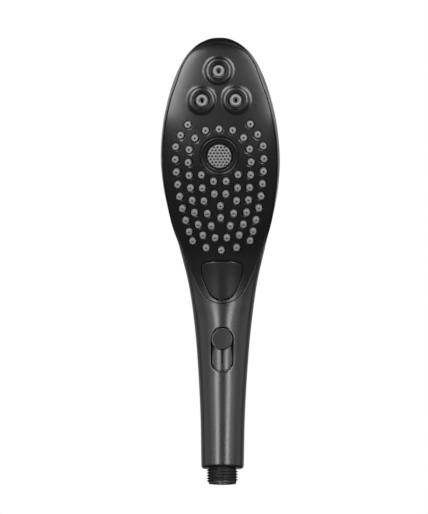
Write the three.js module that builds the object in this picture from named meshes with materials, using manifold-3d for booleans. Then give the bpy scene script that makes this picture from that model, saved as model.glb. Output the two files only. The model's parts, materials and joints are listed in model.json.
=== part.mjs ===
// Handheld shower head: tear-drop spray head on a bent handle, with a push selector and a flow slider.
// Millimetres. Origin: centre of the inlet's end face, on the thread axis. +Z runs up the straight
// handle, -Y is the spray side, +X is to the right of someone who looks at the spray face.
import * as THREE from 'three';
import { mergeVertices } from 'three/addons/utils/BufferGeometryUtils.js';
import Module from 'manifold-3d';

const wasm = await Module();
wasm.setup();

// ---- driving dimensions -------------------------------------------------------------------------
const GAP = 0.3;                        // clearance between neighbouring pieces
const HANDLE_BOTTOM = 10.5;             // height of the handle's lower shoulder
const HANDLE_TOP = 113;                 // where the straight handle ends and the neck bends
const NECK_RADIUS = 91;                 // the spine first leans forward on this radius ...
const NECK_BEND = THREE.MathUtils.degToRad(44.5);
const HEAD_RADIUS = 182;                // ... then straightens again on this one
const SPINE_END = 310.5;                // distance along the spine to the head's tip
const SHELL_WALL = 2.6;
const LEDGE_DEPTH = 5.2;                // how far the ledge under the face plate reaches inwards
const LEDGE_WIDTH = 2.2;
const SHOULDER_RADIUS = 1.8;
const AROUND = 16;                      // facets round every section of the shells
// distances along the spine where the shells have a ring of corners
const RINGS = [60, 108, 122, 136, 150, 164, 178, 195, 213, 233, 253, 270, 284, 296, 304];
const TIP_RINGS = [308.6, 310.2];
// outer shape at stations along the spine: distance, half width, depth behind, height in front
const STATIONS = [
  [10, 14.4, 12.6, 12.5], [50, 15.4, 12.7, 12.3], [90, 17.85, 12.7, 13.0], [116, 20.5, 12.2, 14.9],
  [140, 24.2, 14.2, 15.9], [164, 29.7, 19.1, 16.2], [180, 33.6, 25.1, 16.3], [196, 36.9, 30.0, 14.4],
  [212, 39.2, 32.5, 13.4], [228, 40.1, 33.3, 13.2], [252, 38.2, 31.2, 11.5], [276, 32.5, 24.4, 10.5],
  [292, 26.0, 16.6, 9.6], [304, 16.9, 8.0, 7.0], [309, 7.9, 3.2, 3.2],
];
// seam round the face plate: distance along the spine, half width
const SEAM_SPAN = [122.6, 306];
const SEAM = [
  [125, 8.0], [137, 17.0], [152, 23.4], [165, 28.4], [196, 35.2], [232, 38.1], [268, 32.6],
  [283, 27.2], [300, 17.0],
];
const RIM_HEIGHTS = [5.6, 8.5];         // rim above the crease, low on the head and near its tip
const RIM_SPAN = [225, 262];
const PLATE_WALL = 2.4;
const MAT_TOP = 2.7;                    // depths below the face surface
const MAT_BOTTOM = 4.1;
const MAT_MARGIN = 3.6;
const MAT_SPAN = [162, 261];            // stretch of the spine that the nozzle mat covers
const CHAMBER_TOP = 4.4;
const CHAMBER_MARGIN = 4.5;
const CHAMBER_WALL = 1.8;
const CHAMBER_SPAN = [159, 296];
const CHAMBER_FLOOR = [-6, -4.2];
const NUB_RADIUS = 2.15;
const NUB_HOLE = 2.85;
const NUB_BORE = 0.7;
const NUB_PROUD = 1.8;
// rows of spray nubs, as curves in (sideways, along the spine), mirrored left to right
const NUB_ROWS = [
  { count: 11, through: [[20.7, 253.4], [28.6, 241], [29.2, 226], [26.6, 203], [19.4, 174.9]] },
  { count: 9, through: [[16.2, 245], [20.6, 236], [20.4, 220], [17.6, 197], [12.3, 181]] },
  { count: 5, through: [[12.2, 221.8], [11, 205], [6.4, 188.2]] },
  { count: 2, through: [[4.2, 217.7], [3.8, 209.4]] },
  { count: 1, through: [[10.3, 169.8], [10.3, 169.8]] },
  { count: 1, through: [[4.0, 179.2], [4.0, 179.2]] },
  { count: 1, through: [[9.0, 249.7], [9.0, 249.7]] },
];
const MIDDLE_NUBS = [167.9, 193.6, 201.6, 250.5];
const CENTRE_JET = 233.5;
const CENTRE_RING_RADIUS = 12.8;
const SCREEN_RADIUS = 7.9;
const SCREEN_HOLE = 0.6;
const SCREEN_PITCH = 2.35;
const WHIRLS = [[0, 286.6], [-11.2, 268.3], [11.2, 268.3]];
const WHIRL_RADIUS = 6.05;
const BUMP_RADIUS = 9.8;
const BUMP_HEIGHT = 2.3;
const TIP_RADIUS = 3.7;
const BUTTON_AT = 141.7;
const BUTTON_GAP = 0.5;
const BUTTON_DEPTH = 4.2;
const BUTTON_OUTLINE = [[0, 13.4], [8.4, 12.9], [13.1, 10.4], [13.8, 5.6], [11.1, -3.2], [6.3, -11.2], [0, -13.4]];
const SELECTOR_RADIUS = 11.5;
const SLOT_WIDTH = 15.6;
const SLOT_LENGTH = 30.6;
const SLOT_AT = 89.6;
const SLOT_FLOOR = 10.7;                // distance of the slider's track in front of the handle axis
const KNOB_RADIUS = 7.0;
const KNOB_AT = 96.6;
const KNOB_TOP = 14.9;
const KNOB_TRAVEL = 14;
const PIN_RADIUS = 1.4;
const VALVE_RADIUS = 8.6;
const VALVE_BORE = 6.0;
const VALVE_FLAT = 7.2;                 // flat front of the valve, behind the slider's track
const VALVE_SPAN = [61.3, 117.5];
const SPOOL_RADIUS = 5.7;
const SPOOL_SPAN = [76, 116];
const THREAD_RADIUS = 20.955 / 2;       // G1/2 parallel thread
const THREAD_PITCH = 25.4 / 14;
const THREAD_CORE = 18.631 / 2;
const INLET_BORE = 7.0;
const SCREWS = [[-24.5, 262], [24.5, 262], [-17.5, 166.5], [17.5, 166.5]];

// ---- spine and outer shape ----------------------------------------------------------------------
// Place and lean of the spine at a distance s from the inlet: forward, up and tilt.
function spine(s) {
  const neckLength = NECK_RADIUS * NECK_BEND;
  if (s <= HANDLE_TOP) return { forward: 0, up: s, tilt: 0 };
  const neckTilt = Math.min(s - HANDLE_TOP, neckLength) / NECK_RADIUS;
  let forward = NECK_RADIUS * (1 - Math.cos(neckTilt));
  let up = HANDLE_TOP + NECK_RADIUS * Math.sin(neckTilt);
  if (s <= HANDLE_TOP + neckLength) return { forward, up, tilt: neckTilt };
  const tilt = NECK_BEND - (s - HANDLE_TOP - neckLength) / HEAD_RADIUS;
  forward += HEAD_RADIUS * (Math.cos(tilt) - Math.cos(NECK_BEND));
  up += HEAD_RADIUS * (Math.sin(NECK_BEND) - Math.sin(tilt));
  return { forward, up, tilt };
}

// A point x to the side of the spine and n in front of it, square to the spine.
function onSpine(x, s, n) {
  const at = spine(s);
  return new THREE.Vector3(
    x, -(at.forward + n * Math.cos(at.tilt)), at.up - n * Math.sin(at.tilt));
}

// Group whose local Y runs along the spine and local Z points out of the face.
function spineFrame(x, s, n) {
  const { tilt } = spine(s);
  const group = new THREE.Group();
  group.position.copy(onSpine(x, s, n));
  group.rotation.x = Math.PI / 2 + tilt;
  group.updateMatrixWorld(true);
  return group;
}

// Smooth curve through stations, each value first divided by `round` so that ends can close roundly.
function smooth(stations, column, round) {
  const xs = stations.map((row) => row[0]);
  const ys = stations.map((row) => row[column] / round(row[0]));
  const slope = xs.map((x, i) => {
    const a = Math.max(i - 1, 0);
    const b = Math.min(i + 1, xs.length - 1);
    return (ys[b] - ys[a]) / (xs[b] - xs[a]);
  });
  return (s) => {
    let i = 0;
    while (i < xs.length - 2 && s > xs[i + 1]) i += 1;
    const step = xs[i + 1] - xs[i];
    const t = THREE.MathUtils.clamp((s - xs[i]) / step, -0.5, 1.2);
    const a = (2 * t ** 3 - 3 * t ** 2 + 1) * ys[i] + (3 * t ** 2 - 2 * t ** 3) * ys[i + 1];
    const b = (t ** 3 - 2 * t ** 2 + t) * slope[i] + (t ** 3 - t ** 2) * slope[i + 1];
    return (a + b * step) * round(s);
  };
}

const roundTip = (s) => Math.sqrt(Math.max(SPINE_END - s, 1e-6));
const halfWidth = smooth(STATIONS, 1, roundTip);
const backDepth = smooth(STATIONS, 2, roundTip);
const faceHeight = smooth(STATIONS, 3, roundTip);
const seamHalfWidth = smooth(
  SEAM, 1, (s) => Math.sqrt(Math.max((s - SEAM_SPAN[0]) * (SEAM_SPAN[1] - s), 1e-6)));

// One point of the outer section: angle 0 is the middle of the face, PI the middle of the back.
const RIM_FROM = (Math.PI / 2) * (1 - 4 / AROUND);
function sectionPoint(s, angle, inset, frontInset) {
  const head = THREE.MathUtils.smoothstep(s, 150, 186);
  const crease = -2.5 * (1 - THREE.MathUtils.smoothstep(s, 100, 160));
  const wide = halfWidth(s) - inset;
  const back = backDepth(s) - inset;
  const front = faceHeight(s) - frontInset;
  const a = Math.abs(angle);
  const side = Math.sign(angle);
  if (a > Math.PI / 2) {
    const t = a - Math.PI / 2;
    return [side * wide * Math.max(Math.cos(t), 0) ** 0.92, crease - (back + crease) * Math.sin(t) ** 0.92];
  }
  const rimInset = 2.1 * head * Math.min(1, wide / 20);
  const rise = THREE.MathUtils.lerp(...RIM_HEIGHTS, THREE.MathUtils.smoothstep(s, ...RIM_SPAN));
  const rimHeight = Math.min(crease + rise * head, 0.8 * front);
  if (a > RIM_FROM) {
    const t = (a - RIM_FROM) / (Math.PI / 2 - RIM_FROM);
    return [side * (wide - rimInset * (1 - t)), THREE.MathUtils.lerp(rimHeight, crease, t)];
  }
  const t = (a / RIM_FROM) * (Math.PI / 2);
  const power = THREE.MathUtils.lerp(0.92, 1.15, head);
  return [side * (wide - rimInset) * Math.sin(t) ** 0.92, rimHeight + (front - rimHeight) * Math.cos(t) ** power];
}

// ---- solids and booleans ------------------------------------------------------------------------
// Solid from a closed geometry, optionally moved by a matrix first.
function solid(geometry, matrix) {
  const shape = geometry.clone();
  shape.deleteAttribute('normal');
  shape.deleteAttribute('uv');
  if (matrix) shape.applyMatrix4(matrix);
  const merged = mergeVertices(shape, 1e-4);
  const corners = [];
  const index = merged.index.array;
  for (let i = 0; i < index.length; i += 3) {
    const [a, b, c] = [index[i], index[i + 1], index[i + 2]];
    if (a !== b && b !== c && a !== c) corners.push(a, b, c);
  }
  const mesh = new wasm.Mesh({
    numProp: 3,
    vertProperties: new Float32Array(merged.attributes.position.array),
    triVerts: new Uint32Array(corners),
  });
  return new wasm.Manifold(mesh);
}

function geometryOf(body) {
  const mesh = body.getMesh();
  const geometry = new THREE.BufferGeometry();
  geometry.setAttribute('position', new THREE.BufferAttribute(new Float32Array(mesh.vertProperties), 3));
  geometry.setIndex(new THREE.BufferAttribute(new Uint32Array(mesh.triVerts), 1));
  geometry.computeVertexNormals();
  return geometry;
}

// Closed loft: a cylinder whose vertices go where `pointAt(s, angle)` says, ring by ring.
function loft(rings, around, pointAt) {
  const geometry = new THREE.CylinderGeometry(1, 1, 1, around, rings.length - 1);
  const position = geometry.attributes.position;
  for (let i = 0; i < position.count; i += 1) {
    const x = position.getX(i);
    const z = position.getZ(i);
    const s = rings[Math.round((position.getY(i) + 0.5) * (rings.length - 1))];
    const reach = Math.hypot(x, z) > 0.5 ? 1 : 0;
    const rim = pointAt(s, Math.atan2(x, z));
    const middle = reach ? rim : [0, (pointAt(s, 0)[1] + pointAt(s, Math.PI)[1]) / 2];
    const place = onSpine(middle[0], s, middle[1]);
    position.setXYZ(i, place.x, place.y, place.z);
  }
  return solid(geometry);
}

// The outer shape pulled in by `inset` all round, and under the face by `frontInset(s)` where given.
// Every offset shares RINGS and AROUND, so that two of them are parallel and never touch.
function offsetBody(inset, from = RINGS[0], frontInset = () => inset) {
  const rings = [from, ...RINGS.filter((s) => s > from)];
  return loft(rings, AROUND, (s, angle) => sectionPoint(s, angle, inset, frontInset(s)));
}

// All the given solids as one cutter or one addition.
const joined = (bodies) => wasm.Manifold.union(bodies);

// One solid stood on the face at every nub.
function atNubs(geometry) {
  return joined(nubPlaces().map(([x, s]) => solid(geometry, onFace(x, s, nubLean(x, s)))));
}

// The piece itself, without the shavings that cuts leave beside it.
function largest(body) {
  return body.decompose().reduce((a, b) => (b.volume() > a.volume() ? b : a));
}

// Band of the space round the spine: |x| up to halfAt(s), n between low and high. A band that is
// shrunk keeps the corners of the unshrunk one, so that the two outlines stay the same distance apart.
function ribbon(halfAt, [from, to], [low, high], count, shrink = 0) {
  const rings = [];
  const halves = new Map();
  for (let i = 0; i < count; i += 1) {
    const t = 0.5 - 0.5 * Math.cos((Math.PI * i) / (count - 1));
    const s = from + (to - from) * t;
    rings.push(s + shrink * (1 - 2 * t));
    halves.set(rings[i], Math.max(halfAt(s) - shrink, 0.05));
  }
  return loft(rings, 4, (s, angle) => {
    const turn = Math.round(angle / (Math.PI / 2));
    const right = turn === 0 || turn === 1;
    const front = turn === 0 || turn === -1;
    return [(right ? 1 : -1) * halves.get(s), front ? high : low];
  });
}

// Turned solid about local Z from a profile of [radius, height] points.
function turned(profile, segments) {
  const points = profile.map(([r, z]) => new THREE.Vector2(r, z));
  if (profile[0][0] > 0 || profile[profile.length - 1][0] > 0) points.push(points[0].clone());
  const geometry = new THREE.LatheGeometry(points, segments);
  geometry.rotateX(Math.PI / 2);
  return geometry;
}

// Tube or disc about local Z, listed anticlockwise in (radius, height) so that its faces point out.
function ring(inner, outer, low, high, segments) {
  if (inner === 0) return turned([[0, low], [outer, low], [outer, high], [0, high]], segments);
  return turned([[inner, low], [outer, low], [outer, high], [inner, high]], segments);
}

function extruded(points, low, high) {
  const geometry = new THREE.ExtrudeGeometry(new THREE.Shape(points), {
    depth: high - low, bevelEnabled: false, curveSegments: 1,
  });
  geometry.translate(0, 0, low);
  return geometry;
}

function polygon(radius, sides, phase = 0) {
  return Array.from({ length: sides }, (_, i) => {
    const a = phase + (2 * Math.PI * i) / sides;
    return new THREE.Vector2(radius * Math.cos(a), radius * Math.sin(a));
  });
}

// Stadium outline, long in Y.
function stadium(width, length, side) {
  const points = [];
  const r = width / 2;
  for (let i = 0; i <= side; i += 1) {
    const a = (Math.PI * i) / side;
    points.push(new THREE.Vector2(r * Math.cos(a), length / 2 - r + r * Math.sin(a)));
  }
  for (let i = 0; i <= side; i += 1) {
    const a = Math.PI + (Math.PI * i) / side;
    points.push(new THREE.Vector2(r * Math.cos(a), r - length / 2 + r * Math.sin(a)));
  }
  return points;
}

// Coil spring about local Z.
function coil(radius, wire, low, high, turns) {
  const steps = turns * 8;
  const path = new THREE.CatmullRomCurve3(Array.from({ length: steps + 1 }, (_, i) => {
    const t = i / steps;
    const a = 2 * Math.PI * turns * t;
    return new THREE.Vector3(
      radius * Math.cos(a), radius * Math.sin(a), low + wire + (high - low - 2 * wire) * t);
  }));
  return new THREE.ExtrudeGeometry(new THREE.Shape(polygon(wire, 4)), {
    steps, bevelEnabled: false, extrudePath: path,
  });
}

// ---- materials ----------------------------------------------------------------------------------
function finish(color, roughness, metalness = 0) {
  return () => new THREE.MeshStandardMaterial({ color, roughness, metalness });
}
const blackPlastic = finish(0x1d1e20, 0.42);
const glossBlack = finish(0x17181a, 0.3);
const innerPlastic = finish(0x2b2d30, 0.55);
const whitePlastic = finish(0xd9d9d4, 0.5);
const greySilicone = finish(0xa9abad, 0.65);
const darkRubber = finish(0x222222, 0.8);
const steel = finish(0xb8babd, 0.3, 1);

const showerHead = new THREE.Group();
function add(parent, name, geometry, material) {
  const mesh = new THREE.Mesh(geometry, material());
  mesh.name = name;
  parent.add(mesh);
}

// ---- spray nubs: where each one sits ------------------------------------------------------------
function nubPlaces() {
  const places = MIDDLE_NUBS.map((s) => [0, s]);
  for (const { count, through } of NUB_ROWS) {
    const curve = new THREE.SplineCurve(through.map(([x, s]) => new THREE.Vector2(x, s)));
    const row = count === 1 ? [curve.getPoint(0)] : curve.getSpacedPoints(count - 1);
    for (const at of row) places.push([at.x, at.y], [-at.x, at.y]);
  }
  return places;
}

// Height of the face surface in front of the spine at a point x to the side.
function surfaceHeight(x, s) {
  let low = 0;
  let high = RIM_FROM;
  for (let i = 0; i < 30; i += 1) {
    const middle = (low + high) / 2;
    if (sectionPoint(s, middle, 0, 0)[0] < Math.abs(x)) low = middle;
    else high = middle;
  }
  return sectionPoint(s, low, 0, 0)[1];
}

// Matrix that stands a local solid on the face, leaning with the crown towards the side.
function onFace(x, s, lean = 0) {
  const frame = spineFrame(x, s, surfaceHeight(x, s));
  return frame.matrixWorld.clone().multiply(new THREE.Matrix4().makeRotationY(lean));
}
const nubLean = (x, s) => 0.34 * (x / seamHalfWidth(s)) ** 3;

// ---- outer shells -------------------------------------------------------------------------------
const roundShoulder = (s) => {
  const into = Math.min(s - HANDLE_BOTTOM, SHOULDER_RADIUS);
  return SHOULDER_RADIUS - Math.sqrt(SHOULDER_RADIUS ** 2 - (SHOULDER_RADIUS - into) ** 2);
};
const shoulderRings = [0, 0.25, 0.8, SHOULDER_RADIUS].map((rise) => HANDLE_BOTTOM + rise);
const outerBody = loft([...shoulderRings, ...RINGS, ...TIP_RINGS], AROUND, (s, angle) =>
  sectionPoint(s, angle, roundShoulder(s), roundShoulder(s)));

function slotSolid(width, length, low, high) {
  const frame = spineFrame(0, SLOT_AT, 0);
  return solid(extruded(stadium(width, length, 8), low, high), frame.matrixWorld);
}

function buttonOutline(grow) {
  const half = BUTTON_OUTLINE.map(([x, y]) => {
    const away = Math.hypot(x, y);
    return new THREE.Vector3(x * (1 + grow / away), y * (1 + grow / away), 0);
  });
  const mirrored = half.slice(1, -1).reverse().map((p) => new THREE.Vector3(-p.x, p.y, 0));
  const curve = new THREE.CatmullRomCurve3([...half, ...mirrored].reverse(), true, 'centripetal');
  return curve.getSpacedPoints(30).slice(0, -1).map((p) => new THREE.Vector2(p.x, p.y));
}

const buttonFrame = spineFrame(0, BUTTON_AT, faceHeight(BUTTON_AT));

function backShell() {
  const cavity = offsetBody(SHELL_WALL, 14, (s) =>
    THREE.MathUtils.lerp(SHELL_WALL, LEDGE_DEPTH, THREE.MathUtils.smoothstep(s, 106, 118)));
  const rebate = ribbon(seamHalfWidth, SEAM_SPAN, [-1, 40], 22)
    .subtract(offsetBody(PLATE_WALL + GAP));
  const opening = ribbon(seamHalfWidth, SEAM_SPAN, [-2, 40], 22, LEDGE_WIDTH);
  const inletHole = solid(ring(0, 8.6, 5, 20, 16));
  return largest(outerBody.subtract(cavity).subtract(rebate).subtract(opening)
    .subtract(slotSolid(SLOT_WIDTH, SLOT_LENGTH, 5, 30)).subtract(inletHole));
}

function facePlate() {
  const seam = ribbon(seamHalfWidth, SEAM_SPAN, [0.5, 40], 22, GAP);
  const below = offsetBody(PLATE_WALL);
  let plate = outerBody.subtract(below).intersect(seam);
  const bump = turned([
    [0, -1.2], [BUMP_RADIUS, -1.2], [BUMP_RADIUS, -0.1], [8.0, 0.8],
    [7.0, BUMP_HEIGHT], [0, BUMP_HEIGHT],
  ], 16);
  for (const [x, s] of WHIRLS) {
    plate = plate.add(solid(bump, onFace(x, s)));
  }
  plate = plate.subtract(below);
  for (const [x, s] of WHIRLS) {
    plate = plate.subtract(solid(ring(0, WHIRL_RADIUS + GAP, -14, 9, 16), onFace(x, s)));
  }
  plate = plate.subtract(solid(ring(0, CENTRE_RING_RADIUS + GAP, -14, 9, 20), onFace(0, CENTRE_JET)));
  const nubHole = ring(0, NUB_HOLE, -9, 6, 6);
  plate = plate.subtract(atNubs(nubHole));
  plate = plate.subtract(solid(extruded(buttonOutline(BUTTON_GAP), -12, 9), buttonFrame.matrixWorld));
  for (const [x, s] of SCREWS) {
    const top = surfaceHeight(x, s) - PLATE_WALL + 0.6;
    const post = ring(1.5, 2.6, CHAMBER_FLOOR[1] + GAP, top, 8);
    plate = plate.add(solid(post, spineFrame(x, s, 0).matrixWorld));
  }
  return largest(plate);
}

function nozzleMat() {
  const slab = ribbon((s) => seamHalfWidth(s) - MAT_MARGIN, MAT_SPAN, [-1, 40], 10)
    .intersect(offsetBody(MAT_TOP))
    .subtract(offsetBody(MAT_BOTTOM));
  let mat = slab.subtract(solid(ring(0, CENTRE_RING_RADIUS + GAP, -14, 9, 20), onFace(0, CENTRE_JET)));
  const nub = ring(0, NUB_RADIUS, -3.4, NUB_PROUD, 6);
  const bore = ring(0, NUB_BORE, -9, 6, 3);
  mat = mat.add(atNubs(nub)).subtract(atNubs(bore));
  for (const [x, s] of SCREWS) {
    mat = mat.subtract(solid(ring(0, 3.0, -12, 30, 8), spineFrame(x, s, 0).matrixWorld));
  }
  return mat;
}

function sprayChamber() {
  const [under, floor] = CHAMBER_FLOOR;
  const halfAt = (s) => seamHalfWidth(s) - CHAMBER_MARGIN;
  const outer = ribbon(halfAt, CHAMBER_SPAN, [under, 30], 12);
  const inner = ribbon(halfAt, CHAMBER_SPAN, [floor, 40], 12, CHAMBER_WALL);
  const lid = offsetBody(CHAMBER_TOP);
  let dish = outer.subtract(inner);
  const wall = ribbon((s) => halfAt(s) - 0.5, [255.6, 257.2], [under + 0.5, 30], 2);
  const collar = ring(14.2, 15.6, -18.6, 4, 16);
  dish = dish.add(wall).add(solid(collar, onFace(0, CENTRE_JET))).intersect(lid);
  for (const [x, s] of SCREWS) {
    dish = dish.subtract(solid(ring(0, 1.5, -12, 0, 10), spineFrame(x, s, 0).matrixWorld));
  }
  return largest(dish);
}

add(showerHead, 'back_shell', geometryOf(backShell()), blackPlastic);
add(showerHead, 'face_plate', geometryOf(facePlate()), blackPlastic);
add(showerHead, 'nozzle_mat', geometryOf(nozzleMat()), greySilicone);
add(showerHead, 'spray_chamber', geometryOf(sprayChamber()), innerPlastic);
const channelPlate = ribbon((s) => seamHalfWidth(s) - 14, [170, 290], [-9.5, -6.3], 10);
add(showerHead, 'channel_plate', geometryOf(channelPlate), innerPlastic);
SCREWS.forEach(([x, s], i) => {
  const frame = spineFrame(x, s, 0);
  const screw = turned([[0, -8.2], [2.4, -8.2], [2.4, -6.3], [1.2, -6.3], [1.2, 1.2], [0, 2.4]], 10);
  add(frame, `chamber_screw_${i + 1}`, screw, steel);
  showerHead.add(frame);
});

// ---- centre jet ---------------------------------------------------------------------------------
function centreScreen() {
  let disc = solid(ring(0, SCREEN_RADIUS, -1.1, 0.1, 24));
  for (let row = -3; row <= 3; row += 1) {
    for (let column = -3; column <= 3; column += 1) {
      if (Math.abs(row + column) > 3) continue;
      const x = SCREEN_PITCH * (column + row / 2);
      const y = SCREEN_PITCH * row * Math.sqrt(0.75);
      const hole = ring(0, SCREEN_HOLE, -3, 3, 4);
      disc = disc.subtract(solid(hole, new THREE.Matrix4().makeTranslation(x, y, 0)));
    }
  }
  return disc;
}

const centreFrame = spineFrame(0, CENTRE_JET, faceHeight(CENTRE_JET));
const centreRing = turned([
  [7.0, -2.6], [9.4, -2.6], [9.4, -5.0], [CENTRE_RING_RADIUS, -5.0], [CENTRE_RING_RADIUS, 0.4],
  [11.9, 0.9], [11.9, -0.1], [8.9, -0.1], [8.5, -1.5], [7.0, -1.5],
], 24);
add(centreFrame, 'centre_ring', centreRing, glossBlack);
add(centreFrame, 'centre_screen', geometryOf(centreScreen()), greySilicone);
const centreCore = turned([
  [2.0, -9.0], [9.0, -9.0], [9.0, -2.9], [7.9, -2.9], [7.9, -7.8], [2.0, -7.8],
], 16);
add(centreFrame, 'centre_core', centreCore, innerPlastic);
showerHead.add(centreFrame);

// ---- three whirl jets ---------------------------------------------------------------------------
function whirlNozzle() {
  const outside = solid(turned([
    [0, -3.6], [2.6, -3.6], [4.4, -1.0], [4.4, 0.2], [TIP_RADIUS, 0.2], [TIP_RADIUS, 1.5],
    [3.2, 2.1], [0, 2.1],
  ], 14));
  const bore = solid(ring(0, 1.4, -9, 9, 8), new THREE.Matrix4().makeRotationX(0.16));
  return outside.subtract(bore);
}

function whirlRotor() {
  const vanes = [];
  const tips = 6;
  for (let i = 0; i < tips; i += 1) {
    const a = (2 * Math.PI * i) / tips;
    const corners = [[4.3, -0.1], [4.3, 0.12], [2.0, 0.32]];
    for (const [r, turn] of corners) {
      vanes.push(new THREE.Vector2(r * Math.cos(a + turn), r * Math.sin(a + turn)));
    }
    vanes.push(new THREE.Vector2(1.9 * Math.cos(a + 0.75), 1.9 * Math.sin(a + 0.75)));
  }
  const wheel = new THREE.Shape(vanes);
  wheel.holes.push(new THREE.Path(polygon(1.0, 8)));
  const geometry = new THREE.ExtrudeGeometry(wheel, { depth: 2.9, bevelEnabled: false });
  geometry.translate(0, 0, -6.8);
  return geometry;
}

const whirlHousing = turned([
  [1.6, -8.3], [WHIRL_RADIUS, -8.3], [WHIRL_RADIUS, 1.6], [4.3, 1.6], [4.3, 0.5], [4.9, 0.5],
  [4.9, -7.2], [1.6, -7.2],
], 16);
WHIRLS.forEach(([x, s], i) => {
  const frame = spineFrame(x, s, surfaceHeight(x, s));
  add(frame, `whirl_housing_${i + 1}`, whirlHousing.clone(), glossBlack);
  add(frame, `whirl_nozzle_${i + 1}`, geometryOf(whirlNozzle()), greySilicone);
  add(frame, `whirl_rotor_${i + 1}`, whirlRotor(), whitePlastic);
  showerHead.add(frame);
});

// ---- select button and selector -----------------------------------------------------------------
const buttonSolid = solid(extruded(buttonOutline(0), -BUTTON_DEPTH, 9), buttonFrame.matrixWorld)
  .intersect(outerBody);
add(showerHead, 'select_button', geometryOf(buttonSolid), blackPlastic);

const port = (radius, angle, size) => solid(
  ring(0, size, -40, 0, 8),
  new THREE.Matrix4().makeTranslation(radius * Math.cos(angle), radius * Math.sin(angle), 0));

function selectorRotor() {
  let rotor = solid(ring(3.0, 8.8, -17.5, -12.7, 18));
  for (let i = 0; i < 6; i += 1) {
    const tooth = ring(0, 0.9, -14, -12, 6);
    const a = (Math.PI * i) / 3;
    const at = new THREE.Matrix4().makeTranslation(8.8 * Math.cos(a), 8.8 * Math.sin(a), 0);
    rotor = rotor.subtract(solid(tooth, at));
  }
  return rotor.subtract(port(5.9, Math.PI / 2, 1.9));
}

function threePorts(body) {
  let cut = body;
  for (let i = 0; i < 3; i += 1) cut = cut.subtract(port(5.9, Math.PI / 2 + (2 * Math.PI * i) / 3, 1.9));
  return cut;
}

function selectorHousing() {
  const cup = solid(turned([
    [0, -23.2], [SELECTOR_RADIUS, -23.2], [SELECTOR_RADIUS, -12.7], [9.2, -12.7], [9.2, -20.7], [0, -20.7],
  ], 20));
  const inlet = ring(0, 3.4, 5, 16, 12);
  inlet.rotateX(Math.PI / 2);
  inlet.translate(0, 0, -16.2);
  return threePorts(cup).subtract(solid(inlet));
}

add(buttonFrame, 'button_plunger', ring(0, 2.6, -15.6, -BUTTON_DEPTH - GAP, 14), whitePlastic);
add(buttonFrame, 'button_spring', coil(4.1, 0.45, -10.2, -4.6, 4), steel);
add(buttonFrame, 'selector_cover', ring(3.3, SELECTOR_RADIUS, -12.3, -10.6, 20), innerPlastic);
add(buttonFrame, 'selector_rotor', geometryOf(selectorRotor()), whitePlastic);
add(buttonFrame, 'selector_seal', geometryOf(threePorts(solid(ring(0, 8.8, -20.3, -17.9, 18)))), darkRubber);
add(buttonFrame, 'selector_housing', geometryOf(selectorHousing()), innerPlastic);
showerHead.add(buttonFrame);

// Round tube along the spine.
function spineTube(from, to, n, outer, inner, steps, sides) {
  const rings = Array.from({ length: steps }, (_, i) => from + ((to - from) * i) / (steps - 1));
  const longer = rings.map((s, i) => s + (i === 0 ? -1 : 0) + (i === steps - 1 ? 1 : 0));
  const circle = (r) => (s, angle) => [r * Math.sin(angle), n + r * Math.cos(angle)];
  return loft(rings, sides, circle(outer)).subtract(loft(longer, sides, circle(inner)));
}
add(showerHead, 'feed_duct', geometryOf(spineTube(155.8, 158.6, -0.5, 5, 3.6, 3, 16)), innerPlastic);
add(showerHead, 'neck_tube', geometryOf(spineTube(117.9, 129.2, 0, 6, 4.4, 4, 16)), whitePlastic);

// ---- flow slider and its valve ------------------------------------------------------------------
const sliderFrame = spineFrame(0, SLOT_AT, 0);
const pinSlit = stadium(2 * PIN_RADIUS + 0.8, KNOB_TRAVEL + 2 * PIN_RADIUS + 0.8, 4);

function sliderTrack() {
  const tray = slotSolid(SLOT_WIDTH - 2 * GAP, SLOT_LENGTH - 2 * GAP, VALVE_FLAT + GAP, SLOT_FLOOR);
  return tray.subtract(solid(extruded(pinSlit, 0, 20), sliderFrame.matrixWorld));
}

function sliderKnob() {
  const cap = solid(turned([
    [0, SLOT_FLOOR + GAP], [KNOB_RADIUS, SLOT_FLOOR + GAP], [KNOB_RADIUS, KNOB_TOP - 0.5],
    [KNOB_RADIUS - 0.5, KNOB_TOP], [4.6, KNOB_TOP - 0.6], [0, KNOB_TOP - 0.9],
  ], 20));
  return cap.add(solid(ring(0, PIN_RADIUS, SPOOL_RADIUS + GAP, SLOT_FLOOR + 1, 10)));
}

function valveBody() {
  const [low, high] = VALVE_SPAN;
  const tube = solid(turned([
    [VALVE_BORE, low - 5], [7.0, low - 5], [7.0, low], [VALVE_RADIUS, low], [VALVE_RADIUS, high],
    [VALVE_BORE, high],
  ], 18));
  const flat = solid(extruded(polygon(60, 4, Math.PI / 4), VALVE_FLAT, 40), sliderFrame.matrixWorld);
  const slit = solid(extruded(pinSlit, 0.5, 20), sliderFrame.matrixWorld);
  return tube.subtract(flat).subtract(slit);
}

function spool() {
  const [low, high] = SPOOL_SPAN;
  const groove = (z) => [[SPOOL_RADIUS, z - 0.9], [4.75, z - 0.9], [4.75, z + 0.9], [SPOOL_RADIUS, z + 0.9]];
  return turned([
    [3.7, low], [SPOOL_RADIUS, low], ...groove(low + 3), ...groove(high - 2), [SPOOL_RADIUS, high],
    [3.7, high],
  ], 16);
}

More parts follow.
